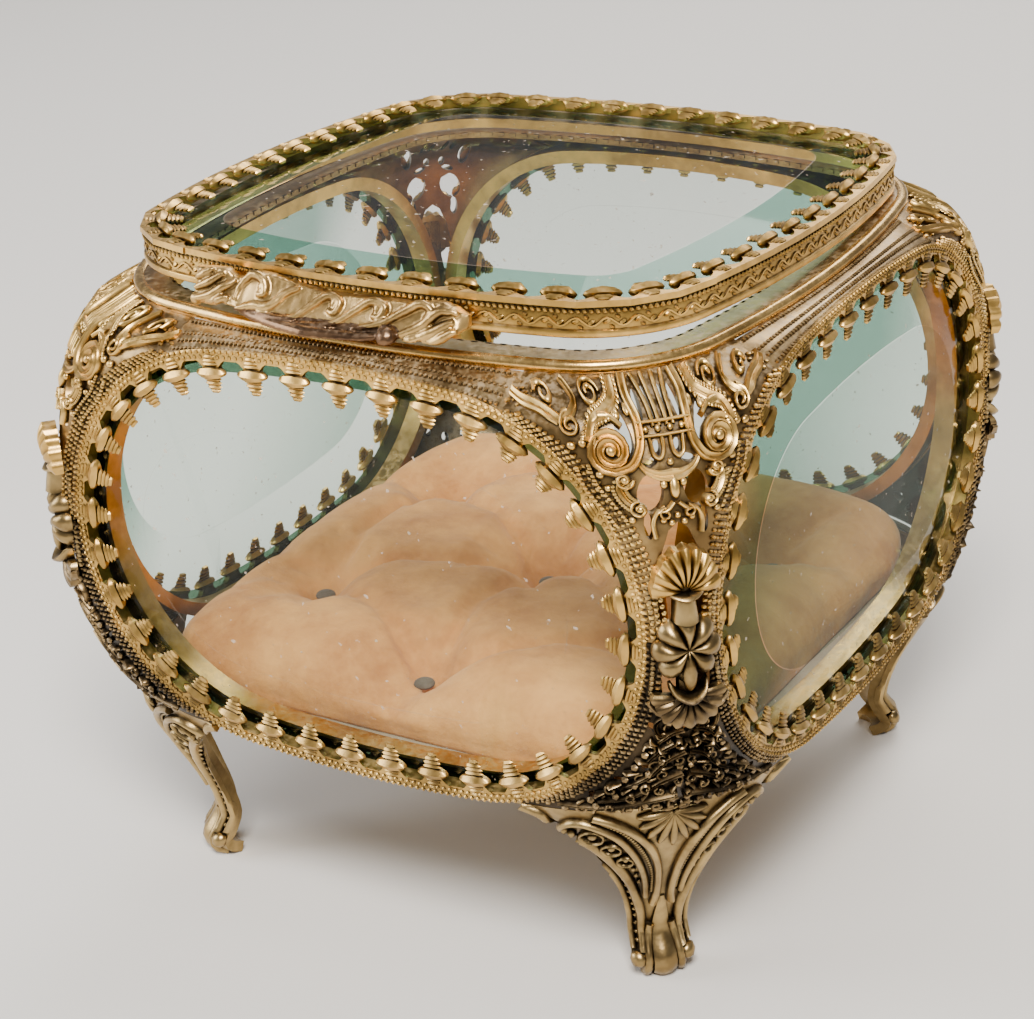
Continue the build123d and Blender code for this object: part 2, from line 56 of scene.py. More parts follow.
def turned(degrees):
    """A turn about the upright middle line of the box."""
    return Matrix.Rotation(radians(degrees), 4, "Z")


def stamp(bm, template, place):
    """Adds a copy of a small mesh to a bmesh at a place."""
    copy = template.copy()
    copy.transform(place)
    bm.from_mesh(copy)
    bpy.data.meshes.remove(copy)


def as_template(bm, name="template"):
    """Keeps a bmesh as a mesh that can be stamped."""
    mesh = bpy.data.meshes.new(name)
    bm.to_mesh(mesh)
    bm.free()
    return mesh


def finish(name, bm, body, materials, nodes=(), smooth_angle=40):
    """Makes a bmesh in millimetres a finished piece that rides on a body and stands for CAD nodes."""
    bmesh.ops.scale(bm, vec=(MM, MM, MM), verts=bm.verts)
    mesh = bpy.data.meshes.new(name)
    bm.to_mesh(mesh)
    bm.free()
    for material in materials:
        mesh.materials.append(material)
    mesh.shade_smooth()
    mesh.set_sharp_from_angle(angle=radians(smooth_angle))
    piece = bpy.data.objects.new(name, mesh)
    bpy.context.collection.objects.link(piece)
    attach(piece, body)
    if nodes:
        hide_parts(*nodes)
    return piece


# %% [markdown]
# A cast or stamped strip is one outline carried along a path. Blender's extrude does it step by step: the
# outline is extruded where it stands, and the new vertices are moved on to the next place along the path.


# %% Sweeps along a path
def sweep(profile, places, closed=False, caps=True):
    """Carries a closed outline of (x, z) points along places, which are matrices, and returns a bmesh."""
    bm = bmesh.new()
    verts = [bm.verts.new(places[0] @ Vector((x, 0, z))) for x, z in profile]
    edges = [bm.edges.new((verts[i - 1], verts[i])) for i in range(len(verts))]
    first = list(edges)
    for before, after in zip(places, places[1:]):
        grown = bmesh.ops.extrude_edge_only(bm, edges=edges)["geom"]
        edges = [e for e in grown if isinstance(e, bmesh.types.BMEdge)]
        moved = [v for v in grown if isinstance(v, bmesh.types.BMVert)]
        bmesh.ops.transform(bm, matrix=after @ before.inverted(), verts=moved)
        edges = [e for e in edges if all(v in moved for v in e.verts)]
    if closed:
        bmesh.ops.bridge_loops(bm, edges=first + edges)
    elif caps:
        bmesh.ops.contextual_create(bm, geom=first)
        bmesh.ops.contextual_create(bm, geom=edges)
    bmesh.ops.recalc_face_normals(bm, faces=bm.faces)
    return bm


def spun_loop(profile, arcs, caps=False):
    """Spins an outline of (outward, up) points round a ring of arcs, each (centre, start angle, turn).

    An oval panel or a bowed square is nothing but arcs that run into each other, so a few spins follow it
    exactly, and the offset of each point from the outline stays true all the way round.
    """
    bm = bmesh.new()
    centre, radius, start, _ = arcs[0]
    out = Vector((cos(start), sin(start), 0))
    verts = [bm.verts.new(Vector((*centre, 0)) + out * (radius + x) + Vector((0, 0, z))) for x, z in profile]
    edges = [bm.edges.new(pair) for pair in zip(verts, verts[1:])]
    geom = verts + edges
    for centre, _, _, turn in arcs:
        steps = max(3, round(abs(turn) / radians(4) * (1 if abs(turn) > 0.6 else 2.2)))
        grown = bmesh.ops.spin(bm, geom=geom, cent=(*centre, 0), axis=(0, 0, 1), angle=turn, steps=steps)
        geom = grown["geom_last"]
    bmesh.ops.remove_doubles(bm, verts=bm.verts, dist=0.002)
    bmesh.ops.recalc_face_normals(bm, faces=bm.faces)
    return bm


# %% [markdown]
# Every round-ended panel and the bowed rim are chains of arcs. Claws are set at even steps along them, so the
# next helper walks a chain and gives a place there: x along the edge, y towards the middle, z out of the face.

# %% The outlines of the panels, the rim and the lid
SIDE_PLANE, PANEL_Z = 50.0, 57.3
PANEL_END_X, PANEL_END_R, PANEL_BOW_R = 15.2, 28.0, 182.4
RIM_CORNER_X, RIM_R, RIM_BOW_R, RIM_HALF, RIM_BOW_TURN = 25.056, 19.0, 160.0, 46.3, 10.236
RIM_Z, RIM_TOP_Z = 87.05, 88.85
LID_SETBACK, LID_Z, LID_TOP_Z = 1.8, 88.75, 93.45
PANEL_PLACE = Matrix.Translation((0, 0, PANEL_Z)) @ Matrix.Rotation(pi / 2, 4, "X")


def oval_arcs():
    """(centre, radius, start angle, turn) of each arc round a side panel."""
    end_turn = 2 * radians(84.35)
    bow_turn = pi - end_turn
    bow_y = PANEL_BOW_R - PANEL_END_R - 0.75
    return [
        ((PANEL_END_X, 0), PANEL_END_R, -end_turn / 2, end_turn),
        ((0, -bow_y), PANEL_BOW_R, end_turn / 2, bow_turn),
        ((-PANEL_END_X, 0), PANEL_END_R, pi - end_turn / 2, end_turn),
        ((0, bow_y), PANEL_BOW_R, pi + end_turn / 2, bow_turn),
    ]


def bowed_arcs(inset=0.0):
    """The same for the bowed square of the rim, drawn in by inset, clockwise from the front side's right end."""
    half_bow = radians(RIM_BOW_TURN)
    bow_y = RIM_BOW_R - RIM_HALF
    arcs = []
    for quarter in range(4):
        turn = Matrix.Rotation(-pi / 2 * quarter, 2)
        side, corner = turn @ Vector((0, bow_y)), turn @ Vector((-RIM_CORNER_X, -RIM_CORNER_X))
        start = -pi / 2 + half_bow - pi / 2 * quarter
        arcs.append((tuple(side), RIM_BOW_R - inset, start, -2 * half_bow))
        arcs.append((tuple(corner), RIM_R - inset, start - 2 * half_bow, -pi / 2 + 2 * half_bow))
    return arcs


def edge_place(arcs, share, inset=0.0):
    """The place at a share of the way round: x along the edge, y towards the middle, z up."""
    way = share * sum(abs(radius * turn) for _, radius, _, turn in arcs)
    for centre, radius, start, turn in arcs:
        length = abs(radius * turn)
        if way <= length:
            break
        way -= length
    angle = start + turn * min(1.0, way / length)
    spot = Matrix.Translation((*centre, 0)) @ Matrix.Rotation(angle, 4, "Z")
    return spot @ Matrix.Translation((radius - inset, 0, 0)) @ Matrix.Rotation(pi / 2, 4, "Z")


print("rim to lid:", LID_SETBACK, "mm")

# %% [markdown]
# The metal is brass with a thin gold wash that has worn and gathered dust. One node tree serves light and
# dark castings: noise varies the gold, ambient occlusion finds the crevices where dirt sits, an upward-facing
# surface catches pale dust, and painted shade darkens the gold wash towards the bottom of the box.


# %% Gold and aged brass
def shader_node(tree, kind, **values):
    """Adds a node and sets its sockets by name."""
    node = tree.nodes.new(kind)
    for name, value in values.items():
        if name.startswith("set_"):
            setattr(node, name[4:], value)
        else:
            node.inputs[name.replace("_", " ")].default_value = value
    return node


def ramp(tree, source, stops):
    """A colour ramp on a value; stops are (place, colour) pairs."""
    node = tree.nodes.new("ShaderNodeValToRGB")
    while len(node.color_ramp.elements) < len(stops):
        node.color_ramp.elements.new(0.5)
    for element, (place, colour) in zip(node.color_ramp.elements, stops):
        element.position = place
        element.color = (*colour, 1)
    tree.links.new(source, node.inputs["Fac"])
    return node.outputs["Color"]


def blended(tree, share, first, second):
    """Mixes two colours by a share."""
    node = tree.nodes.new("ShaderNodeMix")
    node.data_type = "RGBA"
    for socket, value in ((node.inputs[0], share), (node.inputs[6], first), (node.inputs[7], second)):
        if isinstance(value, bpy.types.NodeSocket):
            tree.links.new(value, socket)
        elif isinstance(value, tuple):
            socket.default_value = (*value, 1)
        else:
            socket.default_value = value
    return node.outputs[2]


def new_material(name):
    material = bpy.data.materials.new(name)
    material.use_nodes = True
    tree = material.node_tree
    return material, tree, tree.nodes["Principled BSDF"]


def brass(name, low, high, dirt, dust=0.5, crevice=0.95, roughness=(0.22, 0.45), reach=0.0018,
          painted_shade_low_tone=1.0):
    """Gold-washed brass: low and high are its worn and bright colours, dirt what sits in its crevices.

    The low tone is how much of the colour is left near the feet: painted shade, darker towards the bottom.
    """
    material, tree, shader = new_material(name)
    place = tree.nodes.new("ShaderNodeTexCoord")
    broad = shader_node(tree, "ShaderNodeTexNoise", Scale=110.0, Detail=4.0, Roughness=0.65)
    fine = shader_node(tree, "ShaderNodeTexNoise", Scale=1100.0, Detail=3.0, Roughness=0.7)
    for noise_node in (broad, fine):
        tree.links.new(place.outputs["Object"], noise_node.inputs["Vector"])
    colour = ramp(tree, broad.outputs["Fac"], [(0.38, low), (0.62, high)])
    # Painted shade: below 75 mm the colour sinks towards a dark brown, keeping only the low tone's share of it at 35 mm
    # and under.
    height = tree.nodes.new("ShaderNodeSeparateXYZ")
    tree.links.new(place.outputs["Object"], height.inputs[0])
    painted_shade_by_height = shader_node(tree, "ShaderNodeMapRange", From_Min=0.035, From_Max=0.075, To_Min=painted_shade_low_tone, To_Max=1.0)
    tree.links.new(height.outputs["Z"], painted_shade_by_height.inputs["Value"])
    colour = blended(tree, painted_shade_by_height.outputs["Result"], (0.13, 0.10, 0.055), colour)
    hollow = shader_node(tree, "ShaderNodeAmbientOcclusion", Distance=reach, set_samples=6, set_only_local=True)
    open_air = ramp(tree, hollow.outputs["AO"], [(0.42, (0.0,) * 3), (0.95, (1.0,) * 3)])
    colour = blended(tree, open_air, blended(tree, crevice, colour, dirt), colour)
    facing = tree.nodes.new("ShaderNodeSeparateXYZ")
    tree.links.new(place.outputs["Normal"], facing.inputs[0])
    upward = ramp(tree, facing.outputs["Z"], [(0.3, (0.0,) * 3), (0.9, (1.0,) * 3)])
    patchy = ramp(tree, fine.outputs["Fac"], [(0.42, (0.0,) * 3), (0.6, (dust,) * 3)])
    drift = ramp(tree, broad.outputs["Fac"], [(0.40, (0.35,) * 3), (0.58, (1.0,) * 3)])
    dusty = blended(tree, upward, (0.0,) * 3, blended(tree, drift, (0.0,) * 3, patchy))
    colour = blended(tree, dusty, colour, (0.38, 0.31, 0.22))
    tree.links.new(colour, shader.inputs["Base Color"])
    metal = shader_node(tree, "ShaderNodeMapRange", From_Max=0.8, To_Min=1.0, To_Max=0.0)
    tree.links.new(dusty, metal.inputs["Value"])
    tree.links.new(metal.outputs["Result"], shader.inputs["Metallic"])
    rough = shader_node(tree, "ShaderNodeMapRange", To_Min=roughness[0], To_Max=roughness[1])
    tree.links.new(fine.outputs["Fac"], rough.inputs["Value"])
    tree.links.new(rough.outputs["Result"], shader.inputs["Roughness"])
    bump = shader_node(tree, "ShaderNodeBump", Strength=0.3, Distance=0.0001)
    tree.links.new(fine.outputs["Fac"], bump.inputs["Height"])
    tree.links.new(bump.outputs["Normal"], shader.inputs["Normal"])
    return material


# The gold wash gets painted shade: it is darker towards the bottom of the box.
gold = brass("gold wash", (0.48, 0.285, 0.07), (0.90, 0.56, 0.155), (0.045, 0.027, 0.012), dust=0.35, painted_shade_low_tone=0.7)
dusty_gold = brass("dusty gold", (0.72, 0.43, 0.12), (1.0, 0.67, 0.21), (0.070, 0.042, 0.018), dust=0.35,
                   crevice=0.9)
strip_gold = brass("strip gold", (0.34, 0.22, 0.09), (0.66, 0.45, 0.20), (0.050, 0.033, 0.018), dust=0.6)
dusty_field = brass("dusty field", (0.22, 0.135, 0.05), (0.48, 0.31, 0.12), (0.035, 0.022, 0.011), dust=0.6)
lift_brass = brass("worn lift brass", (0.40, 0.245, 0.085), (0.92, 0.60, 0.21), (0.026, 0.016, 0.008), dust=0.35)
dark_copper = brass("dark copper", (0.060, 0.033, 0.022), (0.24, 0.135, 0.070), (0.010, 0.006, 0.004), dust=0.3)
dark_brass = brass("dark brass", (0.12, 0.080, 0.038), (0.46, 0.31, 0.14), (0.012, 0.009, 0.006), dust=0.2)
black_patina = brass("black patina", (0.014, 0.011, 0.008), (0.08, 0.055, 0.030), (0.005, 0.004, 0.003), dust=0.1)
copper_brass = brass("aged brass", (0.24, 0.16, 0.065), (0.54, 0.38, 0.16), (0.016, 0.011, 0.007), dust=0.15)
smooth_gold = brass("polished gold", (0.50, 0.30, 0.09), (0.84, 0.54, 0.18), (0.10, 0.060, 0.028), dust=0.25,
                    roughness=(0.16, 0.34))
print("metals:", len(bpy.data.materials))

# %% [markdown]
# The glass lets light through to the pad, and only its polish shows. A tinted transparent shader under a
# gloss that grows towards grazing angles does that without dark refractions. The ground bevel is seen along its own plane, where plate
# glass looks teal, so its faces get a deeper tint.


# %% Glass
def plate_glass(name, tint, gloss=0.03, dust_and_highlight_share=0.012, slanted=None):
    """Clear glass: a tinted see-through shader under a glossy one, with specks and a film of dust.

    slanted is the tint seen at a slant, where the way through a bevel is long. A strong film on the thin
    strip where a bevel meets the flat face is a painted highlight.
    """
    material, tree, shader = new_material(name)
    tree.nodes.remove(shader)
    clear = shader_node(tree, "ShaderNodeBsdfTransparent", Color=(*tint, 1))
    shine = shader_node(tree, "ShaderNodeBsdfGlossy", Roughness=gloss, Color=(0.95, 0.98, 0.97, 1))
    film = shader_node(tree, "ShaderNodeBsdfDiffuse", Color=(0.60, 0.50, 0.40, 1))
    slant = shader_node(tree, "ShaderNodeLayerWeight", Blend=0.5)
    polish = shader_node(tree, "ShaderNodeMath", set_operation="POWER")
    polish.inputs[1].default_value = 7.0
    share = shader_node(tree, "ShaderNodeMapRange", To_Min=0.012, To_Max=0.9)
    tree.links.new(slant.outputs["Facing"], polish.inputs[0])
    tree.links.new(polish.outputs[0], share.inputs["Value"])
    deep = slanted or tint
    seen = ramp(tree, slant.outputs["Facing"], [(0.42, tint), (0.48, deep), (0.59, deep), (0.67, tint)])
    rays = tree.nodes.new("ShaderNodeLightPath")
    tree.links.new(blended(tree, rays.outputs["Is Shadow Ray"], seen, (0.93, 0.95, 0.93)), clear.inputs["Color"])
    place = tree.nodes.new("ShaderNodeTexCoord")
    specks = shader_node(tree, "ShaderNodeTexNoise", Scale=900.0, Detail=2.0)
    haze = shader_node(tree, "ShaderNodeTexNoise", Scale=35.0, Detail=5.0, Roughness=0.7)
    for noise_node in (specks, haze):
        tree.links.new(place.outputs["Object"], noise_node.inputs["Vector"])
    grains = ramp(tree, specks.outputs["Fac"], [(0.71, (0.0,) * 3), (0.75, (0.6,) * 3)])
    # The clouds of film are dust; on the strip where a bevel meets the flat face they lay a painted highlight.
    clouds = ramp(tree, haze.outputs["Fac"], [(0.45, (0.0,) * 3), (0.75, (dust_and_highlight_share,) * 3)])
    dirt = shader_node(tree, "ShaderNodeMath", set_operation="MAXIMUM")
    tree.links.new(grains, dirt.inputs[0])
    tree.links.new(clouds, dirt.inputs[1])
    glass, soiled = tree.nodes.new("ShaderNodeMixShader"), tree.nodes.new("ShaderNodeMixShader")
    tree.links.new(share.outputs[0], glass.inputs[0])
    tree.links.new(clear.outputs[0], glass.inputs[1])
    tree.links.new(shine.outputs[0], glass.inputs[2])
    tree.links.new(dirt.outputs[0], soiled.inputs[0])
    tree.links.new(glass.outputs[0], soiled.inputs[1])
    tree.links.new(film.outputs[0], soiled.inputs[2])
    tree.links.new(soiled.outputs[0], tree.nodes["Material Output"].inputs["Surface"])
    return material


clear_glass = plate_glass("clear glass", (0.98, 0.99, 0.985))
bevel_glass = plate_glass("side bevel glass", (0.88, 0.94, 0.91), slanted=(0.22, 0.40, 0.33))
dusty_edge = plate_glass("dusty glass edge", (0.20, 0.34, 0.27), dust_and_highlight_share=0.75)
# Painted highlight: a pale film on the thin strip where the bevel meets the flat face, a light line along that edge.
painted_highlight_line = plate_glass("painted highlight line", (0.86, 0.93, 0.90), gloss=0.25, dust_and_highlight_share=0.3)
lid_bevel_glass = plate_glass("lid bevel glass", (0.32, 0.54, 0.47))
edge_glass = plate_glass("glass edge", (0.10, 0.20, 0.13))

# %% [markdown]
# Each glass is cut to its panel's outline. Its section is spun round the arcs: the flat back, the thin edge
# and the long bevel. The middle is then filled front and back, and each zone gets its own glass.


# %% The five bevelled glasses
def bevelled_sheet(arcs, inset, thickness=3.0, edge=1.6, bevel=9.5):
    """A bevelled glass with its back at z = 0."""
    near = edge + (thickness - edge) * 1.6 / bevel
    section = [(-inset - bevel, 0), (-inset, 0), (-inset, edge), (-inset - 1.6, near),
               (-inset - bevel + 0.16, thickness - 0.02), (-inset - bevel, thickness)]
    bm = spun_loop(section, arcs)
    rims = [e for e in bm.edges if e.is_boundary]
    bmesh.ops.contextual_create(bm, geom=[e for e in rims if e.verts[0].co.z < 0.1])
    bmesh.ops.contextual_create(bm, geom=[e for e in rims if e.verts[0].co.z > 0.1])
    bmesh.ops.recalc_face_normals(bm, faces=bm.faces)
    for face in bm.faces:
        height = face.calc_center_median().z
        if 0.2 < height < near:
            face.material_index = 2
        elif near < height < thickness - 0.03:
            face.material_index = 1
        # The thin strip where the bevel meets the flat face takes the painted highlight line.
        elif near < height < thickness - 0.005:
            face.material_index = 3
    return bm


GLASSES = [clear_glass, bevel_glass, edge_glass, painted_highlight_line]
LID_GLASSES = [clear_glass, lid_bevel_glass, dusty_edge, painted_highlight_line]
for side, degrees in SIDE_TURNS.items():
    bm = bevelled_sheet(oval_arcs(), 1.2)
    bm.transform(turned(degrees) @ PANEL_PLACE @ Matrix.Translation((0, 0, SIDE_PLANE - 0.3 - 3.0)))
    finish(f"glass_{side}", bm, "casket", GLASSES, [f"{side}_glass"], 5)
HINGE = Matrix.Translation((0, 47.9, 90.75))
AJAR = HINGE @ Matrix.Rotation(radians(-1.5), 4, "X") @ HINGE.inverted()
bm = bevelled_sheet(bowed_arcs(LID_SETBACK), 1.6)
bm.transform(AJAR @ Matrix.Translation((0, 0, LID_TOP_Z - 0.3 - 3.0)))
finish("glass_lid", bm, "lid", LID_GLASSES, ["lid_glass"], 5)
print("glasses:", 5)

# %% [markdown]
# A claw is cast in one with its gallery: a ribbed neck that flares into a scallop, a boat-shaped bar across
# it that was pressed down on the glass, and a beaded bud beyond the bar. It is made once, lying flat, and
# stamped at even steps round every outline.


# %% One claw
CLAW_PITCH, CLAW_REACH = 6.5, 4.3


def bead(radius, squash=1.0):
    """A small ball of few faces."""
    bm = bmesh.new()
    bmesh.ops.create_icosphere(bm, subdivisions=1, radius=radius)
    bmesh.ops.scale(bm, vec=(1, 1, squash), verts=bm.verts)
    return as_template(bm)


def spindle(length, radius, steps=8, blunt=0.75, stations=(-1, -0.85, -0.55, 0, 0.55, 0.85, 1)):
    """A bar along x, thickest in the middle and pointed at both ends."""
    bm = bmesh.new()
    verts = [bm.verts.new((s * length / 2, 0, radius * (1 - abs(s) ** 2) ** blunt)) for s in stations]
    edges = [bm.edges.new(pair) for pair in zip(verts, verts[1:])]
    bmesh.ops.spin(bm, geom=verts + edges, cent=(0, 0, 0), axis=(1, 0, 0), angle=2 * pi, steps=steps,
                   use_merge=True)
    bmesh.ops.remove_doubles(bm, verts=bm.verts, dist=0.005)
    bmesh.ops.recalc_face_normals(bm, faces=bm.faces)
    return bm


def claw():
    """x along the edge, y towards the middle of the glass, z out of it, the glass at z = -0.3."""
    bm = bmesh.new()
    flare = [(3.25, -0.6), (3.25, 0.1), (2.5, 0.3), (1.8, 0.7), (1.3, 1.25), (1.15, 1.8)]
    outline = flare + [(-x, y) for x, y in reversed(flare)]
    plate = bmesh.ops.contextual_create(bm, geom=[bm.verts.new((x, y, -0.75)) for x, y in outline])["faces"]
    raised = bmesh.ops.extrude_face_region(bm, geom=plate)["geom"]
    bmesh.ops.translate(bm, vec=(0, 0, 0.8), verts=[v for v in raised if isinstance(v, bmesh.types.BMVert)])
    bmesh.ops.recalc_face_normals(bm, faces=bm.faces)
    few = (-1, -0.6, 0.6, 1)
    rib = as_template(spindle(1.0, 0.32, 5, 0.4, few))
    for y, width in ((-0.1, 1.7), (0.45, 2.3), (0.95, 2.5)):
        stamp(bm, rib, Matrix.Translation((0, y, 0.06)) @ Matrix.Diagonal((width, 1, 1, 1)))
    bar = as_template(spindle(4.9, 0.95, 6, 0.62))
    stamp(bm, bar, Matrix.Translation((0, 2.05, 0.0)) @ Matrix.Diagonal((1, 0.95, 1.1, 1)))
    row = as_template(spindle(1.0, 0.42, 5, 0.3, few))
    for y, width, lift in ((2.95, 2.9, 0.0), (3.5, 2.7, -0.05), (4.05, 2.3, -0.12), (4.55, 1.6, -0.22)):
        stamp(bm, row, Matrix.Translation((0, y, lift)) @ Matrix.Diagonal((width, 0.9, 1, 1)))
    return as_template(bm)


CLAW = claw()
print("claw faces:", len(CLAW.polygons))

# %% [markdown]
# A side gallery is the band that the glass sits in: a thin wall with a thicker seat behind the glass. Its
# section goes round the oval, and thirty-six claws fold over the front.

# %% The four side galleries
BAND_SECTION = [(-0.8, -0.05), (-0.8, -3.3), (-2.0, -3.3), (-2.0, -6.5), (0, -6.5), (0, -1.0), (0.6, -0.9),
                (0.65, -0.2), (0.4, 0.05), (0.0, -0.05), (-0.8, -0.05)]
SIDE_CLAWS, LID_CLAWS = 36, 48
MILLING = bead(0.34)


def top_strip():
    """The sloping strip from the top of the front panel to the rim, with milled rows along it."""
    bm = bmesh.new()
    bmesh.ops.create_grid(bm, x_segments=40, y_segments=5, size=1.0)
    panel_centre, rim_centre = PANEL_Z + PANEL_END_R + 0.75 - PANEL_BOW_R, RIM_BOW_R - RIM_HALF

    def spot(across, share, lift=0.0):
        x, tuck = across * 25.5, abs(across) ** 10
        low = Vector((x, -SIDE_PLANE, panel_centre + sqrt(PANEL_BOW_R**2 - x**2)))
        high = Vector((x, rim_centre - sqrt(RIM_BOW_R**2 - x**2) + 0.3, 87.3))
        swell = 0.45 * sin(pi * share) * (1 - tuck) - 0.3 * tuck
        return low.lerp(high, share) + Vector((0, -1, 2)).normalized() * (swell + lift)

    for vert in bm.verts:
        vert.co = spot(vert.co.x, (vert.co.y + 1) / 2)
    bmesh.ops.recalc_face_normals(bm, faces=bm.faces)
    if bm.faces[:][0].normal.z < 0:
        bmesh.ops.reverse_faces(bm, faces=bm.faces)
    bmesh.ops.solidify(bm, geom=bm.faces, thickness=0.8)
    for share in (0.14, 0.36, 0.56, 0.9):
        for i in range(72):
            stamp(bm, MILLING, Matrix.Translation(spot((i - 35.5) / 37.5, share, 0.05 - 0.12 * (share == 0.56))))
    return bm


TOP_STRIP = as_template(top_strip())
for side, degrees in SIDE_TURNS.items():
    bm = spun_loop(BAND_SECTION, oval_arcs())
    for i in range(SIDE_CLAWS):
        stamp(bm, CLAW, edge_place(oval_arcs(), i / SIDE_CLAWS, 0.35))
    for inset in (-0.35, 0.3):
        for i in range(7 * SIDE_CLAWS):
            stamp(bm, MILLING, edge_place(oval_arcs(), (i + 0.5 * (inset > 0)) / 7 / SIDE_CLAWS, inset))
    bm.transform(turned(degrees) @ PANEL_PLACE @ Matrix.Translation((0, 0, SIDE_PLANE)))
    metal_faces = len(bm.faces)
    stamp(bm, TOP_STRIP, turned(degrees))
    bm.faces.ensure_lookup_table()
    for face in bm.faces[metal_faces:]:
        face.material_index = 1
    finish(f"gallery_{side}", bm, "casket", [gold, strip_gold], [f"{side}_frame"])
print("claws on a side:", SIDE_CLAWS)

# %% [markdown]
# The rim is a half-round band, spun from its section like the galleries. The dusty ledge inside it stops the
# lid, and its inner edge is finely toothed.

# %% The rim and its ledge
half_round = [(-0.9 + 0.9 * cos(t), 87.95 + 0.9 * sin(t)) for t in [pi / 2 - pi / 10 * i for i in range(11)]]
bead_section = half_round + [(-1.5, 87.05), (-1.5, 88.6), half_round[0]]
ledge_section = [(-1.4, 87.65), (-5.1, 87.65), (-5.1, 88.45), (-1.4, 88.45), (-1.4, 87.65)]
bm = spun_loop(bead_section, bowed_arcs())
bead_faces = len(bm.faces)
add_ledge = as_template(spun_loop(ledge_section, bowed_arcs()))
bm.from_mesh(add_ledge)
tooth = bmesh.new()
bmesh.ops.create_cube(tooth, size=1.0, matrix=Matrix.Diagonal((0.9, 0.5, 0.5, 1)))
tooth = as_template(tooth)
for i in range(150):
    stamp(bm, tooth, edge_place(bowed_arcs(5.0), i / 150) @ Matrix.Translation((0, 0, 88.2)))
for face in bm.faces:
    face.material_index = 0 if face.index < bead_faces else 1
finish("rim", bm, "casket", [smooth_gold, dusty_field], ["top_rim"])

# %% [markdown]
# The lid's frame is a stamped gallery: a smooth lip at the bottom, a strip of waving vine, a groove, a row of
# beads and a milled edge, with claws folded over the glass. The plain section is spun first, then the
# ornament is stamped round it.

# %% The lid's frame
def vine():
    """One wave of the vine with its two leaves, on the band's face: x along it, -y outwards, z up."""
    bm = bmesh.new()
    section = [(-0.16, -0.2), (-0.1, 0.2), (0.1, 0.2), (0.16, -0.2)]
    places = []
    for i in range(9):
        way = 2 * pi * i / 8
        lean = atan2(0.52 * cos(way) * 2 * pi / 3.87, 1)
        place = Matrix.Translation((3.87 * (i / 8 - 0.5), 0, 0.52 * sin(way))) @ Matrix.Rotation(-lean, 4, "Y")
        places.append(place @ Matrix(((0, 1, 0, 0), (0, 0, -1, 0), (-1, 0, 0, 0), (0, 0, 0, 1))))
    bm.from_mesh(as_template(sweep(section, places)))
    leaf = as_template(spindle(1.0, 0.34, 5, 0.6, (-1, -0.5, 0.5, 1)))
    for x, z, tilt, size in ((-0.95, 0.12, -35, 1.15), (0.95, -0.12, 145, 1.15), (-0.35, -0.62, 30, 0.8),
                             (0.35, 0.62, 30, 0.8)):
        spot = Matrix.Translation((x, 0, z)) @ Matrix.Rotation(radians(tilt), 4, "Y")
        stamp(bm, leaf, spot @ Matrix.Diagonal((size, 0.9, size, 1)))
    return as_template(bm)


VINE = vine()
LINE = as_template(spindle(1.45, 0.16, 4, 0.05, (-1, 1)))
lid_section = [(-0.4, 1.15), (-0.1, 0.95), (0.0, 0.6), (-0.1, 0.2), (-0.4, 0.0), (-2.35, 0.0), (-2.35, 1.4),
               (-1.15, 1.4), (-1.15, 4.5), (-0.9, 4.65), (-0.6, 4.6), (-0.4, 4.3), (-0.4, 1.15)]
lid_section = [(x, LID_Z + z) for x, z in lid_section]
bm = spun_loop(lid_section, bowed_arcs(LID_SETBACK))
for i in range(LID_CLAWS):
    stamp(bm, CLAW, edge_place(bowed_arcs(LID_SETBACK), i / LID_CLAWS, 0.75) @ Matrix.Translation((0, 0, LID_TOP_Z)))
grain = bead(0.38)
for i in range(380):
    stamp(bm, grain, edge_place(bowed_arcs(LID_SETBACK), i / 380, 0.32) @ Matrix.Translation((0, 0, LID_Z + 3.45)))
for i in range(560):
    stamp(bm, MILLING, edge_place(bowed_arcs(LID_SETBACK), i / 560, 0.45) @ Matrix.Translation((0, 0, LID_Z + 4.35)))
for lift in (3.95, 2.95):
    for i in range(240):
        stamp(bm, LINE, edge_place(bowed_arcs(LID_SETBACK), i / 240, 0.4) @ Matrix.Translation((0, 0, LID_Z + lift)))
for i in range(80):
    stamp(bm, VINE, edge_place(bowed_arcs(LID_SETBACK), i / 80, 0.4) @ Matrix.Translation((0, 0, LID_Z + 2.05)))
bm.transform(AJAR)
finish("lid_band", bm, "lid", [gold], ["lid_frame"])

# %% [markdown]
# The corner castings fill the space between two round panels, so their surface is a quarter round that is
# tight half-way up and wide at the top. Ornament is drawn flat, as x across the corner, z up and y as lift,
# and then wrapped on that surface by the next helper.


# %% The corner's surface
def corner_edge(z):
    """Where the round corner begins on a side, at height z."""
    if z <= 84.05:
        return PANEL_END_X + sqrt(max(28.4**2 - (z - PANEL_Z) ** 2, 80.0))
    return 24.74 + (min(z, 86.95) - 84.05) / (86.95 - 84.05) * (RIM_CORNER_X - 24.74)


def corner_radius(z):
    if z <= 84.05:
        return SIDE_PLANE - corner_edge(z)
    if z <= 86.95:
        return 25.26 + (z - 84.05) / (86.95 - 84.05) * (RIM_R - 25.26)
    return RIM_R - 1.2 * (z - 86.95)


def on_corner(x, z, lift=0.0):
    """A point of the flat drawing, wrapped on the front right corner."""
    def at(across, height):
        radius, centre = corner_radius(height), corner_edge(height)
        turn = asin(max(-0.7071, min(0.7071, across / radius))) - pi / 4
        return Vector((centre + radius * cos(turn), -centre + radius * sin(turn), height))

    spot = at(x, z)
    normal = (at(x + 0.2, z) - at(x - 0.2, z)).cross(at(x, z + 0.2) - at(x, z - 0.2)).normalized()
    return spot + normal * lift


def wrap_on_corner(bm):
    for vert in bm.verts:
        vert.co = on_corner(vert.co.x, vert.co.z, vert.co.y)


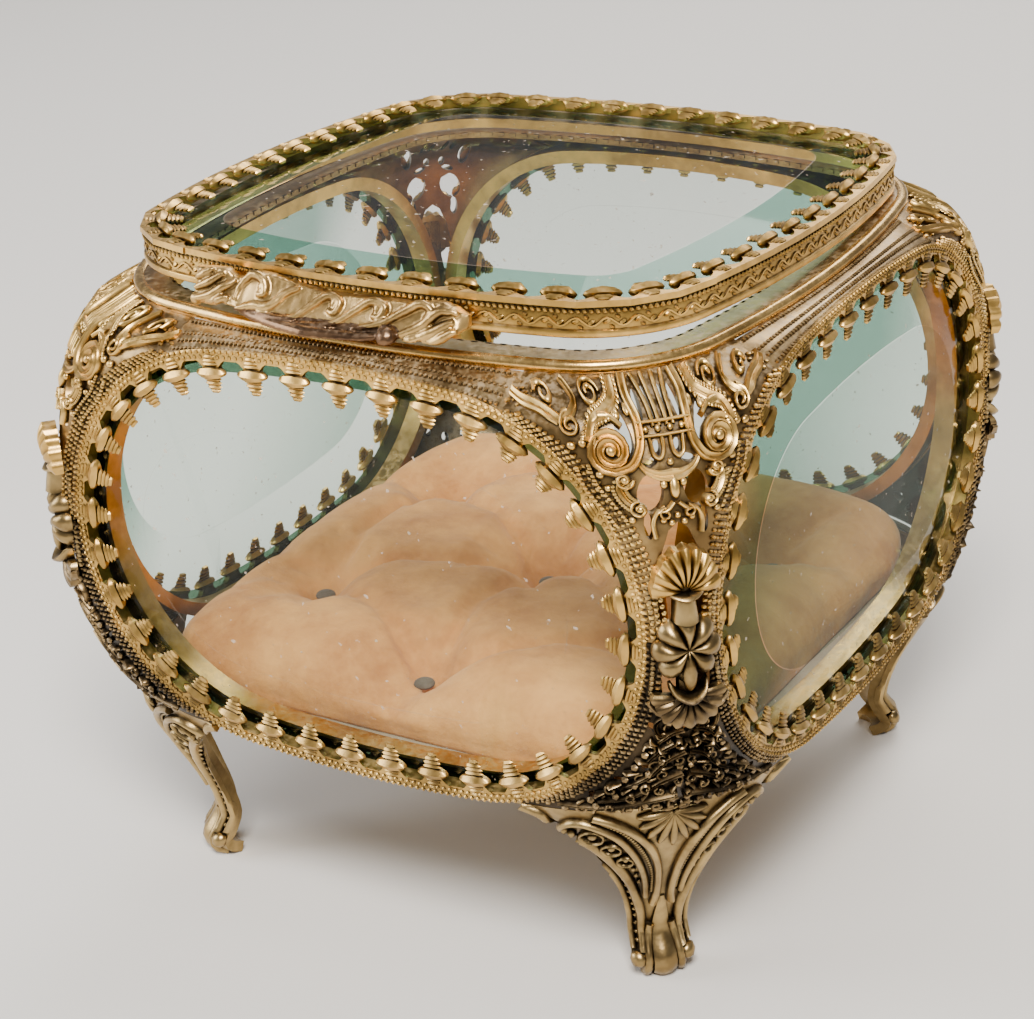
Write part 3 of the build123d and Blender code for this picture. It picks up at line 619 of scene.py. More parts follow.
def mirrored(bm):
    """Adds the left half to a drawing of the right half."""
    copy = as_template(bm.copy())
    stamp(bm, copy, Matrix.Diagonal((-1, 1, 1, 1)))
    bpy.data.meshes.remove(copy)
    bmesh.ops.recalc_face_normals(bm, faces=bm.faces)


print("corner radius half-way up:", round(corner_radius(PANEL_Z), 2), "mm")

# %% [markdown]
# Scrollwork is a cord of metal with a groove down its middle. A smooth line is run through a few points, and
# the cord's section is carried along it. A volute is the same cord on a spiral that ends in a ball.


# %% Scroll cords
def smooth_line(points, steps=5):
    """A smooth line through a few (x, z) points."""
    line = []
    padded = [points[0], *points, points[-1]]
    for a, b, c, d in zip(padded, padded[1:], padded[2:], padded[3:]):
        for i in range(steps):
            t = i / steps
            line.append(tuple(
                0.5 * (2 * b[k] + (c[k] - a[k]) * t + (2 * a[k] - 5 * b[k] + 4 * c[k] - d[k]) * t * t
                       + (3 * b[k] - a[k] - 3 * c[k] + d[k]) * t**3) for k in (0, 1)))
    return [*line, points[-1]]


GROOVED = [(-1, 0), (-0.95, 0.7), (-0.6, 1.0), (-0.2, 0.7), (0, 0.6), (0.2, 0.7), (0.6, 1.0), (0.95, 0.7), (1, 0)]
ROUND = [(-1, 0), (-0.85, 0.6), (-0.4, 0.95), (0, 1.05), (0.4, 0.95), (0.85, 0.6), (1, 0)]


def cord(line, width, height, section=GROOVED, taper=None):
    """A relief cord along a flat line of (x, z) points, its foot at y = -0.4."""
    places, sizes = [], []
    for i, (x, z) in enumerate(line):
        before, after = line[max(i - 1, 0)], line[min(i + 1, len(line) - 1)]
        along = Vector((after[0] - before[0], 0, after[1] - before[1])).normalized()
        across = Vector((along.z, 0, -along.x))
        size = taper(i / (len(line) - 1)) if taper else 1.0
        frame_rows = Matrix((across * size, along, Vector((0, size, 0)))).transposed().to_4x4()
        places.append(Matrix.Translation((x, 0, z)) @ frame_rows)
        sizes.append(size)
    outline = [(x * width / 2, z * height) for x, z in section] + [(width / 2, -0.4), (-width / 2, -0.4)]
    return sweep(outline, places)


def add(bm, other):
    """Joins another bmesh into this one."""
    mesh = as_template(other)
    bm.from_mesh(mesh)
    bpy.data.meshes.remove(mesh)


def spiral(x, z, radius, turns, start, sense=1, inner=0.25, steps=14):
    """Points of a spiral from its outside to its eye."""
    count = int(turns * steps)
    return [(x + radius * (1 - (1 - inner) * i / count) * cos(start + sense * 2 * pi * i / steps),
             z + radius * (1 - (1 - inner) * i / count) * sin(start + sense * 2 * pi * i / steps))
            for i in range(count + 1)]


def ball(bm, x, z, radius, lift=0.2):
    bmesh.ops.create_icosphere(bm, subdivisions=2, radius=radius, matrix=Matrix.Translation((x, lift, z)))


# %% [markdown]
# The casting itself is a thin plate of that surface with holes. A grid is wrapped on the corner and given its
# thickness, and the holes are cut with a Boolean modifier by oval rods along the diagonal.


# %% A pierced plate
# Turns the flat drawing (x across, y outwards, z up) to the front right corner's diagonal.
DIAGONAL = Matrix(((sqrt(0.5), sqrt(0.5), 0, 0), (sqrt(0.5), -sqrt(0.5), 0, 0), (0, 0, 1, 0), (0, 0, 0, 1)))


def corner_plate(low_z, high_z, thickness=1.0, columns=24, rows=30):
    bm = bmesh.new()
    bmesh.ops.create_grid(bm, x_segments=columns, y_segments=rows, size=1.0)
    for vert in bm.verts:
        share, z = vert.co.x, low_z + (vert.co.y + 1) / 2 * (high_z - low_z)
        vert.co = on_corner(share * 0.7071 * corner_radius(z), z)
    bmesh.ops.recalc_face_normals(bm, faces=bm.faces)
    if bm.faces[:][0].normal.dot(Vector((1, -1, 0))) < 0:
        bmesh.ops.reverse_faces(bm, faces=bm.faces)
    bmesh.ops.solidify(bm, geom=bm.faces, thickness=thickness)
    return bm


def oval_rod(x, z, width, height, tilt=0.0):
    """A cutter along the diagonal, at x across the corner."""
    bm = bmesh.new()
    bmesh.ops.create_cone(bm, cap_ends=True, segments=16, radius1=0.5, radius2=0.5, depth=40,
                          matrix=Matrix.Rotation(pi / 2, 4, "X"))
    place = Matrix.Translation((x, 60, z)) @ Matrix.Rotation(radians(tilt), 4, "Y")
    bm.transform(DIAGONAL @ place @ Matrix.Diagonal((width, 1, height, 1)))
    bmesh.ops.recalc_face_normals(bm, faces=bm.faces)
    return bm


def cut(bm, cutters):
    """Takes the cutters out of a bmesh with a Boolean modifier and returns what is left."""
    holder = bpy.data.objects.new("plate", as_template(bm))
    tools = bmesh.new()
    for cutter in cutters:
        add(tools, cutter)
    tool = bpy.data.objects.new("rods", as_template(tools))
    for piece in (holder, tool):
        bpy.context.collection.objects.link(piece)
    step = holder.modifiers.new("holes", "BOOLEAN")
    step.operation, step.solver, step.object, step.use_self = "DIFFERENCE", "EXACT", tool, True
    result = bmesh.new()
    result.from_object(holder, bpy.context.evaluated_depsgraph_get())
    for piece in (holder, tool):
        bpy.data.objects.remove(piece)
    return result


def both_sides(holes):
    return [oval_rod(side * x, z, w, h, side * tilt) for x, z, w, h, tilt in holes for side in (1, -1)]


# %% [markdown]
# The upper casting shows a lyre: two arms that curl into volutes, strings over a framed bar, a crescent leaf
# with a bud below, and small scrolls in the spandrels. Coarse grains edge both sides.

# %% The upper corner castings
def grain_border(bm, low_z, high_z, rows, pitch=0.85):
    """Rows of grains up both edges of a casting, in the flat drawing's own measures."""
    small, large = bead(0.36, 0.8), bead(0.47, 0.8)
    for row in range(rows):
        z = low_z + row * 0.3
        while z < high_z:
            radius = corner_radius(z)
            inner = 0.35 + row * 0.78 + 0.12 * noise.noise(Vector((row, z, 0)))
            if inner < radius * pi / 4:
                x = radius * sin(pi / 4 - inner / radius)
                for side in (1, -1):
                    spot = on_corner(side * x, z, 0.05)
                    grain = large if noise.noise(Vector((z * 3, row, side))) > 0.1 else small
                    stamp(bm, grain, Matrix.Translation(spot))
            slope = hypot(1.0, (corner_edge(z + 0.1) - corner_edge(z)) / 0.1)
            z += pitch / slope
    return bm


def upper_scrolls():
    """The right half of the lyre and its scrolls, drawn flat."""
    bm = bmesh.new()
    arm = smooth_line([(3.0, 86.95), (3.35, 85.34), (3.0, 83.43), (3.2, 81.05), (4.4, 79.15), (6.3, 78.45)])
    volute = spiral(6.5, 80.7, 2.25, 1.9, -pi / 2, 1)
    add(bm, cord(arm + volute[1:], 1.15, 0.85))
    ball(bm, 6.5, 80.7, 0.6, 0.5)
    shoulder = smooth_line([(8.7, 81.75), (8.0, 83.59), (6.4, 84.35), (5.0, 85.27), (4.6, 86.88)])
    add(bm, cord(shoulder, 1.2, 0.7))
    ribs = smooth_line([(4.9, 83.13), (5.9, 83.97), (7.2, 84.12)])
    add(bm, cord(ribs, 0.7, 0.8, ROUND))
    for x_top, x_low in ((1.9, 1.35), (0.65, 0.5)):
        add(bm, cord(smooth_line([(x_top, 86.95), (x_low, 85.12), (x_low * 0.9, 82.85)]), 0.62, 0.5, ROUND))
    add(bm, cord([(0, 83.24), (3.3, 83.24)], 0.4, 0.8, ROUND))
    add(bm, cord([(0, 81.9), (3.3, 81.9)], 0.4, 0.8, ROUND))
    add(bm, cord([(3.2, 81.75), (3.2, 83.36)], 0.4, 0.8, ROUND))
    for x in (0.75, 2.2):
        ball(bm, x, 82.6, 0.42, 0.2)
    strand = smooth_line([(0.5, 81.75), (0.55, 80.45), (1.1, 79.65), (1.8, 80.15), (2.0, 81.75)])
    add(bm, cord(strand, 0.6, 0.6, ROUND))
    leaf = smooth_line([(0.0, 77.75), (1.5, 77.85), (3.0, 78.55), (3.9, 79.75)])
    add(bm, cord(leaf, 1.5, 0.9, GROOVED, lambda t: 1.0 - 0.75 * t))
    ball(bm, 1.15, 76.85, 0.5)
    ball(bm, 0.0, 79.15, 0.45)
    crown = smooth_line([(0.3, 74.75), (1.2, 73.95), (2.3, 73.75), (2.9, 72.55), (2.7, 70.85)])
    add(bm, cord(crown, 0.65, 0.7, ROUND))
    add(bm, cord(spiral(1.35, 73.55, 0.75, 1.1, pi / 2, -1), 0.45, 0.8, ROUND))
    pendant = smooth_line([(5.0, 77.85), (6.1, 76.85), (5.6, 75.45), (4.7, 74.65)])
    add(bm, cord(pendant, 0.9, 0.75, GROOVED))
    add(bm, cord(spiral(5.5, 77.55, 1.0, 1.3, pi, 1), 0.55, 0.8, ROUND))
    add(bm, cord(spiral(4.2, 74.25, 1.0, 1.3, pi / 2, -1), 0.55, 0.8, ROUND))
    ball(bm, 5.5, 77.55, 0.45, 0.4)
    ball(bm, 4.1, 74.25, 0.45, 0.4)
    spandrel = smooth_line([(9.9, 86.8), (9.2, 85.42), (9.9, 84.43), (11.2, 83.74)])
    add(bm, cord(spandrel, 0.7, 0.65, GROOVED))
    add(bm, cord(spiral(7.3, 85.73, 1.15, 1.6, pi, -1), 0.5, 0.75, ROUND))
    add(bm, cord(spiral(10.4, 83.36, 1.15, 1.6, pi / 2, -1), 0.5, 0.75, ROUND))
    for x, z in ((9.4, 81.55), (10.6, 81.25), (8.0, 78.15), (3.8, 84.5), (5.2, 84.12)):
        ball(bm, x, z, 0.5)
    for line in (shoulder, pendant, smooth_line([(9.6, 79.0), (8.9, 76.8), (7.4, 74.6), (6.0, 72.4)])):
        for (x, z), (ahead, above) in zip(line, line[1:]):
            across = Vector((above - z, x - ahead)).normalized() * 0.62
            for side in (1, -1):
                bmesh.ops.create_icosphere(bm, subdivisions=1, radius=0.24, matrix=Matrix.Translation(
                    (x + side * across.x, 0.55, z + side * across.y)))
    for x, z in ((0.0, 73.3), (0.75, 72.5), (1.7, 72.9), (5.1, 73.0), (7.3, 76.6)):
        ball(bm, x, z, 0.42)
    outer = smooth_line([(11.5, 83.74), (13.2, 84.66), (14.8, 85.12), (15.8, 85.88)])
    add(bm, cord(outer, 1.0, 0.7, GROOVED))
    add(bm, cord(spiral(12.2, 85.65, 0.9, 1.2, 0, 1), 0.5, 0.7, ROUND))
    return bm


upper_holes = [(4.75, 82.15, 1.8, 4.6, 8), (1.05, 84.6, 0.85, 3.0, 0), (2.35, 84.5, 0.85, 3.0, -8), (5.9, 85.7, 1.8, 1.7, 0),
               (9.6, 80.55, 1.2, 2.1, 20), (1.25, 80.75, 1.0, 1.6, 0), (2.3, 79.25, 2.0, 1.0, 25), (12.1, 84.4, 1.4, 1.8, -30),
               (8.5, 84.5, 1.3, 1.9, 20), (2.8, 75.9, 3.1, 4.6, -15), (13.9, 85.7, 1.8, 1.2, -20), (3.4, 72.2, 1.1, 3.2, 0),
               (7.9, 86.2, 1.0, 1.1, 0), (10.9, 86.0, 1.2, 1.1, 0), (7.2, 82.9, 0.9, 1.0, 40)]
bm = corner_plate(57.4, 87.4)
bm = cut(bm, both_sides(upper_holes) + [oval_rod(0, 60.5, 6.4, 24.0)])
scrolls = upper_scrolls()
mirrored(scrolls)
bud = bmesh.new()
bmesh.ops.create_uvsphere(bud, u_segments=12, v_segments=8, radius=1.0,
                          matrix=Matrix.Translation((0, 0.3, 76.45)) @ Matrix.Diagonal((0.62, 0.8, 1.35, 1)))
add(scrolls, bud)
wrap_on_corner(scrolls)
plate_faces = len(bm.faces)
add(bm, scrolls)
grain_border(bm, 58.0, 86.6, 4)
for face in bm.faces:
    face.material_index = 1 if face.index < plate_faces else 0
UPPER = as_template(bm)
for corner, degrees in CORNER_TURNS.items():
    bm = bmesh.new()
    stamp(bm, UPPER, turned(degrees))
    node = f"upper_filigree_{corner}"
    finish(f"lyre_{corner}", bm, "casket", [dusty_gold, dusty_field], [node])
print("upper casting faces:", len(UPPER.polygons))

# %% [markdown]
# The lower castings are darker and closer: small scrolls, leaves and grains, so many that they are laid by a
# rule. Each little scroll leans outwards on its own row.

# %% The lower corner castings
def lower_scrolls():
    """The right half: curls, leaves and pearls on a jittered net, and two long leaves that frame them."""
    bm = bmesh.new()
    for row in range(17):
        z = 31.2 + row * 1.02
        reach = 0.7071 * corner_radius(z)
        count = max(1, round((reach - 2.6) / 1.7))
        for i in range(count):
            chance = noise.noise(Vector((i * 1.7, row * 1.3, 5)))
            x = (reach - 2.6) * (i + 0.5 + 0.4 * chance) / count
            kind, turn = (i * 2 + row) % 3, 2.2 * i + 1.3 * row
            if kind == 0:
                add(bm, cord(spiral(x, z, 0.8, 1.1, turn, 1 if chance > 0 else -1, steps=8), 0.42, 0.7 + chance, ROUND))
            elif kind == 1:
                bow = [(x - 0.9 * cos(turn), z - 0.6 * sin(turn)), (x + 0.3, z), (x + 0.9 * cos(turn), z + 0.6 * sin(turn))]
                add(bm, cord(smooth_line(bow, 3), 0.55, 0.8 + chance, ROUND, lambda t: 1.0 - 0.6 * abs(2 * t - 1)))
            else:
                bmesh.ops.create_icosphere(bm, subdivisions=1, radius=0.5, matrix=Matrix.Translation((x, 0.35, z)))
    for line in ([(0.0, 47.2), (2.2, 47.6), (3.6, 46.4), (3.4, 44.8), (2.3, 44.4)], [(0.6, 45.6), (2.0, 44.9), (3.4, 43.4)],
                 [(1.6, 43.6), (3.2, 42.2), (4.6, 40.2)], [(0.3, 42.2), (2.4, 40.8), (4.4, 38.0), (7.4, 35.6)],
                 [(0.4, 38.6), (3.0, 37.2), (6.0, 34.4), (9.8, 33.0)], [(1.0, 34.6), (4.4, 33.6), (8.0, 32.2), (14.0, 31.6)]):
        add(bm, cord(smooth_line(line), 0.75, 1.15, GROOVED, lambda t: 1.0 - 0.5 * t))
    return bm


lower_holes = [(2.6, 42.8, 1.2, 2.6, 25), (4.6, 39.4, 1.3, 2.6, 30), (2.0, 37.4, 1.2, 2.2, 0), (7.2, 36.4, 1.2, 2.4, 45),
               (4.6, 34.6, 1.3, 1.8, 30), (1.6, 33.2, 1.2, 1.5, 0), (10.0, 33.8, 1.2, 1.9, 60), (7.6, 32.7, 1.3, 1.2, 0),
               (3.9, 45.4, 1.0, 1.9, 40)]
bm = corner_plate(30.3, 57.2)
bm = cut(bm, both_sides(lower_holes) + [oval_rod(0, 54.5, 6.4, 20.0)])
scrolls = lower_scrolls()
mirrored(scrolls)
wrap_on_corner(scrolls)
plate_faces = len(bm.faces)
add(bm, scrolls)
grain_border(bm, 30.7, 57.0, 3)
for face in bm.faces:
    face.material_index = 1 if face.index < plate_faces else 0
LOWER = as_template(bm)
for corner, degrees in CORNER_TURNS.items():
    bm = bmesh.new()
    stamp(bm, LOWER, turned(degrees))
    node = f"lower_filigree_{corner}"
    finish(f"scrollwork_{corner}", bm, "casket", [dark_brass, black_patina], [node])
print("lower casting faces:", len(LOWER.polygons))

# %% [markdown]
# A cast column bridges each corner where the panels come closest: a scallop shell, a collar, a flower with
# eight petals, a second collar and a spread lower shell, all on a narrow spine. The shells are grids bent
# into fans whose height rises and falls from flute to flute.

# %% The corner columns
def fan(z, radius, flutes, spread, height, facing=1, squeeze=1.0, valley=0.93):
    """A fluted shell as a flat drawing: x across, z up, y lift. Facing 1 opens upwards and -1 downwards."""
    bm = bmesh.new()
    bmesh.ops.create_grid(bm, x_segments=flutes * 8, y_segments=10, size=1.0)
    for vert in bm.verts:
        turn, along = vert.co.x * spread / 2, (vert.co.y + 1) / 2
        flute = abs(cos((vert.co.x + 1) / 2 * flutes * pi))
        edge = radius * (valley + (1 - valley) * (1 - flute**2))
        reach = 0.14 * radius + (edge - 0.14 * radius) * along
        dome = height * (0.30 + 0.70 * sin(pi * min(1.0, 0.12 + 0.72 * along)))
        lift = dome * cos(turn * 0.75) ** 0.5 * (0.80 + 0.20 * (1 - flute**6))
        vert.co = (squeeze * reach * sin(turn), lift, z + facing * reach * cos(turn))
    bmesh.ops.recalc_face_normals(bm, faces=bm.faces)
    if bm.faces[:][0].normal.y < 0:
        bmesh.ops.reverse_faces(bm, faces=bm.faces)
    rim = bmesh.ops.extrude_edge_only(bm, edges=[e for e in bm.edges if e.is_boundary])["geom"]
    for vert in rim:
        if isinstance(vert, bmesh.types.BMVert):
            vert.co.y = -0.4
    bmesh.ops.contextual_create(bm, geom=[e for e in bm.edges if e.is_boundary])
    return bm


def flower(z, petals, radius_x, radius_z, height):
    """A flower of rounded petals that meet in a point, with a sharp groove between each two."""
    bm = bmesh.new()
    bmesh.ops.create_uvsphere(bm, u_segments=petals * 8, v_segments=16, radius=1.0)
    for vert in bm.verts:
        turn, out = atan2(vert.co.y, vert.co.x), hypot(vert.co.x, vert.co.y)
        petal = abs(cos(petals * turn / 2)) ** 0.55
        reach = out * (0.80 + 0.20 * petal)
        cup = (0.58 + 0.42 * petal) * (0.55 + 0.45 * min(1.0, out / 0.55))
        vert.co = (radius_x * reach * cos(turn), height * max(vert.co.z, -0.2) ** 1 * cup,
                   z + radius_z * reach * sin(turn))
    bmesh.ops.recalc_face_normals(bm, faces=bm.faces)
    return bm


def collar(line, width, lift, height=1.5):
    """A horned band across the column, thickest in the middle."""
    return cord(smooth_line(line), width, height, [(x, z + lift) for x, z in ROUND],
                lambda t: 1.0 - 0.75 * abs(2 * t - 1) ** 1.5)


def column():
    """The column as a flat drawing, wrapped later on the upright line of the corner."""
    bm = fan(64.2, 6.1, 9, radians(180), 2.4, 1, 0.72, 0.95)
    shell_faces = len(bm.faces)
    add(bm, fan(50.3, 4.4, 9, radians(200), 1.5, -1, 1.08, 0.92))
    add(bm, flower(56.7, 8, 4.35, 4.75, 2.7))
    drop = bmesh.new()
    bmesh.ops.create_uvsphere(drop, u_segments=12, v_segments=8, radius=1.0,
                              matrix=Matrix.Translation((0, 1.3, 53.6)) @ Matrix.Diagonal((0.95, 0.9, 2.4, 1)))
    add(bm, drop)
    add(bm, collar([(-2.7, 65.2), (-1.6, 64.1), (0, 63.7), (1.6, 64.1), (2.7, 65.2)], 1.1, 0.5))
    add(bm, collar([(-2.3, 52.4), (-1.7, 51.0), (0, 50.2), (1.7, 51.0), (2.3, 52.4)], 1.25, 0.6, 1.7))
    for side in (1, -1):
        wing = [(side * 1.0, 50.3), (side * 2.6, 49.0), (side * 4.0, 48.7), (side * 5.0, 49.9)]
        add(bm, cord(smooth_line(wing), 1.2, 1.4, ROUND, lambda t: 1.0 - 0.55 * t))
        bmesh.ops.create_icosphere(bm, subdivisions=2, radius=0.7, matrix=Matrix.Translation((side * 3.2, 0.3, 64.6)))
    neck = smooth_line([(0, 63.8), (0, 62.2), (0, 60.4)])
    add(bm, cord(neck, 2.9, 1.9, ROUND, lambda t: 0.8 + 0.35 * t))
    spine = smooth_line([(0, 69.0), (0, 62), (0, 52), (0, 46.7)])
    add(bm, cord(spine, 2.6, 0.7, ROUND))
    for x in (-3.5, 3.5):
        for i in range(22):
            bmesh.ops.create_icosphere(bm, subdivisions=1, radius=0.4,
                                       matrix=Matrix.Translation((x + 0.02 * x * abs(i - 11), -0.9, 50.6 + i * 0.68)))
    for face in bm.faces:
        low = face.calc_center_median().z < 50.6
        face.material_index = 0 if face.index < shell_faces else 2 if low else 1
    return bm


COLUMN_SURFACE = 67.36
bm = column()
bm.transform(DIAGONAL @ Matrix.Translation((0, COLUMN_SURFACE + 0.3, 0)))
bmesh.ops.recalc_face_normals(bm, faces=bm.faces)
COLUMN = as_template(bm)
for corner, degrees in CORNER_TURNS.items():
    bm = bmesh.new()
    stamp(bm, COLUMN, turned(degrees))
    finish(f"column_{corner}", bm, "casket", [gold, copper_brass, dark_brass], [f"corner_column_{corner}"])
print("column faces:", len(COLUMN.polygons))

# %% [markdown]
# Each foot is a hollow bracket cast to the shape of the corner above it: wide wings at the top that sweep in
# to a narrow ankle and a rounded toe. Its surface is again a quarter round whose size changes with height, so
# ribs, rings and dots are drawn flat and wrapped.


# %% The surface of a foot
FOOT_STATIONS = [(0, 50.6, 2.9), (0.9, 52.7, 3.8), (2.6, 53.5, 4.15), (4.6, 52.3, 3.9), (6.95, 51.35, 3.65), (12.99, 53.18, 4.4),
                 (19.93, 56.62, 7.5), (25.52, 59.21, 11.6), (30.2, 59.81, 18.5)]


def foot_size(z):
    """How far the foot reaches along the diagonal and its half width, at height z."""
    rows = FOOT_STATIONS
    i = max(j for j in range(len(rows) - 1) if rows[j][0] <= max(z, 0.0))
    before, after = rows[max(i - 1, 0)], rows[min(i + 2, len(rows) - 1)]
    a, b = rows[i], rows[i + 1]
    t = (z - a[0]) / (b[0] - a[0])
    values = []
    for k in (1, 2):
        slope_a = (b[k] - before[k]) / (b[0] - before[0]) if i else 0.0
        slope_b = (after[k] - a[k]) / (after[0] - a[0])
        run = b[0] - a[0]
        values.append((2 * t**3 - 3 * t**2 + 1) * a[k] + (t**3 - 2 * t**2 + t) * run * slope_a
                      + (3 * t**2 - 2 * t**3) * b[k] + (t**3 - t**2) * run * slope_b)
    return values


def on_foot(x, z, lift=0.0):
    """A point of the flat drawing, wrapped on the front right foot."""
    def at(across, height):
        apex, half = foot_size(height)
        radius = half * sqrt(2)
        centre = (apex - radius) / sqrt(2)
        turn = asin(max(-0.74, min(0.74, across / radius))) - pi / 4
        return Vector((centre + radius * cos(turn), -centre + radius * sin(turn), height))

    spot = at(x, z)
    normal = (at(x + 0.1, z) - at(x - 0.1, z)).cross(at(x, z + 0.1) - at(x, z - 0.1)).normalized()
    return spot + normal * lift


def wrap_on_foot(bm):
    for vert in bm.verts:
        vert.co = on_foot(vert.co.x, min(vert.co.z, 30.1), vert.co.y)


# %% [markdown]
# The ribs are cords in pairs with a milled row between them; each half carries three rings that get smaller
# towards the ankle, and a leaf of nine petals hangs at the top in the middle.


# %% The four feet
def foot_ornament():
    """The right half of the foot's relief, drawn flat."""
    bm = bmesh.new()
    inner = smooth_line([(10.0, 29.2), (7.8, 28.4), (5.0, 26.6), (2.9, 24.0), (1.6, 20.6), (1.05, 17.0), (0.95, 13.8),
                         (1.2, 11.6)])
    add(bm, cord(inner, 1.15, 0.95, ROUND))
    second = smooth_line([(12.0, 25.0), (13.2, 26.4), (12.6, 27.8), (10.6, 28.0), (7.0, 25.9), (4.4, 22.0), (2.8, 17.5),
                          (2.2, 13.4)])
    add(bm, cord(second, 0.95, 0.95, ROUND))
    ball(bm, 12.2, 25.2, 0.85)
    outer = smooth_line([(11.3, 22.7), (11.8, 24.0), (10.4, 24.2), (8.2, 22.2), (6.0, 19.2), (4.2, 15.8), (3.0, 12.0),
                         (2.4, 9.0), (2.35, 6.0), (2.5, 3.6)])
    add(bm, cord(outer, 1.15, 1.0, ROUND))
    ball(bm, 11.0, 23.1, 0.85)
    edge = smooth_line([(9.9, 22.3), (7.8, 19.4), (5.9, 16.4), (4.5, 12.8), (3.7, 9.3), (3.5, 6.6), (3.6, 4.0)])
    add(bm, cord(edge, 0.75, 0.8, ROUND))
    ball(bm, 3.2, 2.9, 1.0)
    top = smooth_line([(18.0, 29.6), (15.8, 28.6), (14.6, 27.0), (13.4, 25.4)])
    add(bm, cord(top, 0.8, 0.8, ROUND))
    add(bm, cord([(0, 29.9), (17.8, 29.9)], 0.5, 0.5, ROUND))
    for x, z, radius in ((9.7, 25.6, 1.3), (7.3, 23.4, 1.1), (5.4, 21.0, 0.9)):
        add(bm, cord(spiral(x, z, radius, 1.0, 0, 1, inner=1.0), 0.42, 0.85, ROUND))
        ball(bm, x, z, 0.45 * radius)
    for x, z in ((4.3, 19.0), (3.8, 17.6), (3.3, 16.2), (8.4, 25.3), (6.3, 22.5)):
        ball(bm, x, z, 0.32)
    for x, z in smooth_line([(9.9, 23.2), (7.2, 20.1), (5.0, 16.4), (3.75, 12.4), (3.05, 9.0), (3.0, 5.0)], 3):
        ball(bm, x, z, 0.33)
    for x, z in smooth_line([(8.9, 28.2), (5.9, 26.3), (3.6, 22.9), (2.1, 18.6), (1.6, 14.2)], 9):
        bmesh.ops.create_icosphere(bm, subdivisions=1, radius=0.3, matrix=Matrix.Translation((x, 0.2, z)))
    for i in range(1, 5):
        turn, length = radians(21 * i), 5.6 - 0.2 * i
        middle = Matrix.Translation((0.5 * length * sin(turn), 0.25, 29.5 - 0.5 * length * cos(turn)))
        bmesh.ops.create_uvsphere(bm, u_segments=10, v_segments=7, radius=1.0, matrix=middle
                                  @ Matrix.Rotation(-turn, 4, "Y") @ Matrix.Diagonal((0.62, 0.75, 0.5 * length, 1)))
    add(bm, cord(smooth_line([(1.3, 7.6), (1.9, 4.4), (2.3, 0.6)]), 1.3, 0.9, ROUND))
    return bm


bm = bmesh.new()
bmesh.ops.create_grid(bm, x_segments=28, y_segments=40, size=1.0)
for vert in bm.verts:
    z = (vert.co.y + 1) / 2 * 30.1
    vert.co = on_foot(vert.co.x * foot_size(z)[1], z)
bmesh.ops.recalc_face_normals(bm, faces=bm.faces)
if bm.faces[:][0].normal.dot(Vector((1, -1, 0))) < 0:
    bmesh.ops.reverse_faces(bm, faces=bm.faces)
bmesh.ops.solidify(bm, geom=bm.faces, thickness=1.6)
ornament = foot_ornament()
mirrored(ornament)
bmesh.ops.create_uvsphere(ornament, u_segments=10, v_segments=8, radius=1.0,
                          matrix=Matrix.Translation((0, 0.25, 26.6)) @ Matrix.Diagonal((0.6, 0.65, 2.9, 1)))
tongue = smooth_line([(0, 12.6), (0, 10.5), (0, 8.0), (0, 4.0), (0, 0.6)])
add(ornament, cord(tongue, 3.4, 1.0, ROUND, lambda t: 0.22 + 0.78 * min(1.0, t * 1.25)))
wrap_on_foot(ornament)
add(bm, ornament)
for vert in bm.verts:
    vert.co.z = max(vert.co.z, 0.0)
FOOT = as_template(bm)
for corner, degrees in CORNER_TURNS.items():
    bm = bmesh.new()
    stamp(bm, FOOT, turned(degrees))
    finish(f"bracket_{corner}", bm, "casket", [copper_brass], [f"foot_{corner}"])
print("foot faces:", len(FOOT.polygons))

# %% [markdown]
# The lift is a cast scroll on the front of the lid: a leaf block at its left end, a bar of rolled leaves, a
# dark bead and a rounded lobe. Its parts are swept and balled, then melted together with a voxel remesh and
# smoothed, as wax would be before casting.


# %% The lift handle
LIFT_X, LIFT_Z, LIFT_FACE = -2.0, 90.0, -44.7


def lift_body(across, up):
    """A point on the front of the lift: across runs from -1 to 1 and up from 0 at its foot to 1 at its top."""
    x = 20.4 * across
    low = min(smooth_line([(-20.4, -1.6), (-14.0, -1.5), (-9.0, -2.4), (-3.0, -3.0), (5.0, -3.0), (10.0, -2.6), (16.0, -2.4),
                           (20.4, -0.4)], 6), key=lambda p: abs(p[0] - x))[1]
    high = min(smooth_line([(-20.4, 2.4), (-15.5, 2.7), (-13.6, 1.8), (-10.0, 2.9), (-5.0, 2.2), (0.0, 1.5), (6.0, 1.7),
                            (12.0, 1.9), (17.0, 2.5), (20.4, 1.2)], 6), key=lambda p: abs(p[0] - x))[1]
    ends = min(1.0, (1 - abs(across)) / 0.06 + 0.25)
    swell = 2.4 + 2.8 * max(0.0, 1 - abs(x + 1) / 15) ** 0.6
    lift = ends * (0.8 + (swell - 0.8) * (1 - up) ** 1.3 * min(1.0, 0.55 + up * 4))
    return Vector((x + LIFT_X, LIFT_FACE - lift, LIFT_Z + low + (high - low) * up))


def clear_of_rim(x, y):
    """The lowest the lift may reach at x, y when the lid is shut: over the strip in front and over the rim."""
    rim_y, strip_z = -RIM_HALF + x**2 / 320, PANEL_Z + PANEL_END_R + 0.75 - x**2 / 365
    if y > rim_y - 0.35:
        return 89.15
    return strip_z + 1.05 + (87.3 - strip_z) * min(1.0, max(0.0, (y + SIDE_PLANE) / (rim_y + SIDE_PLANE)))


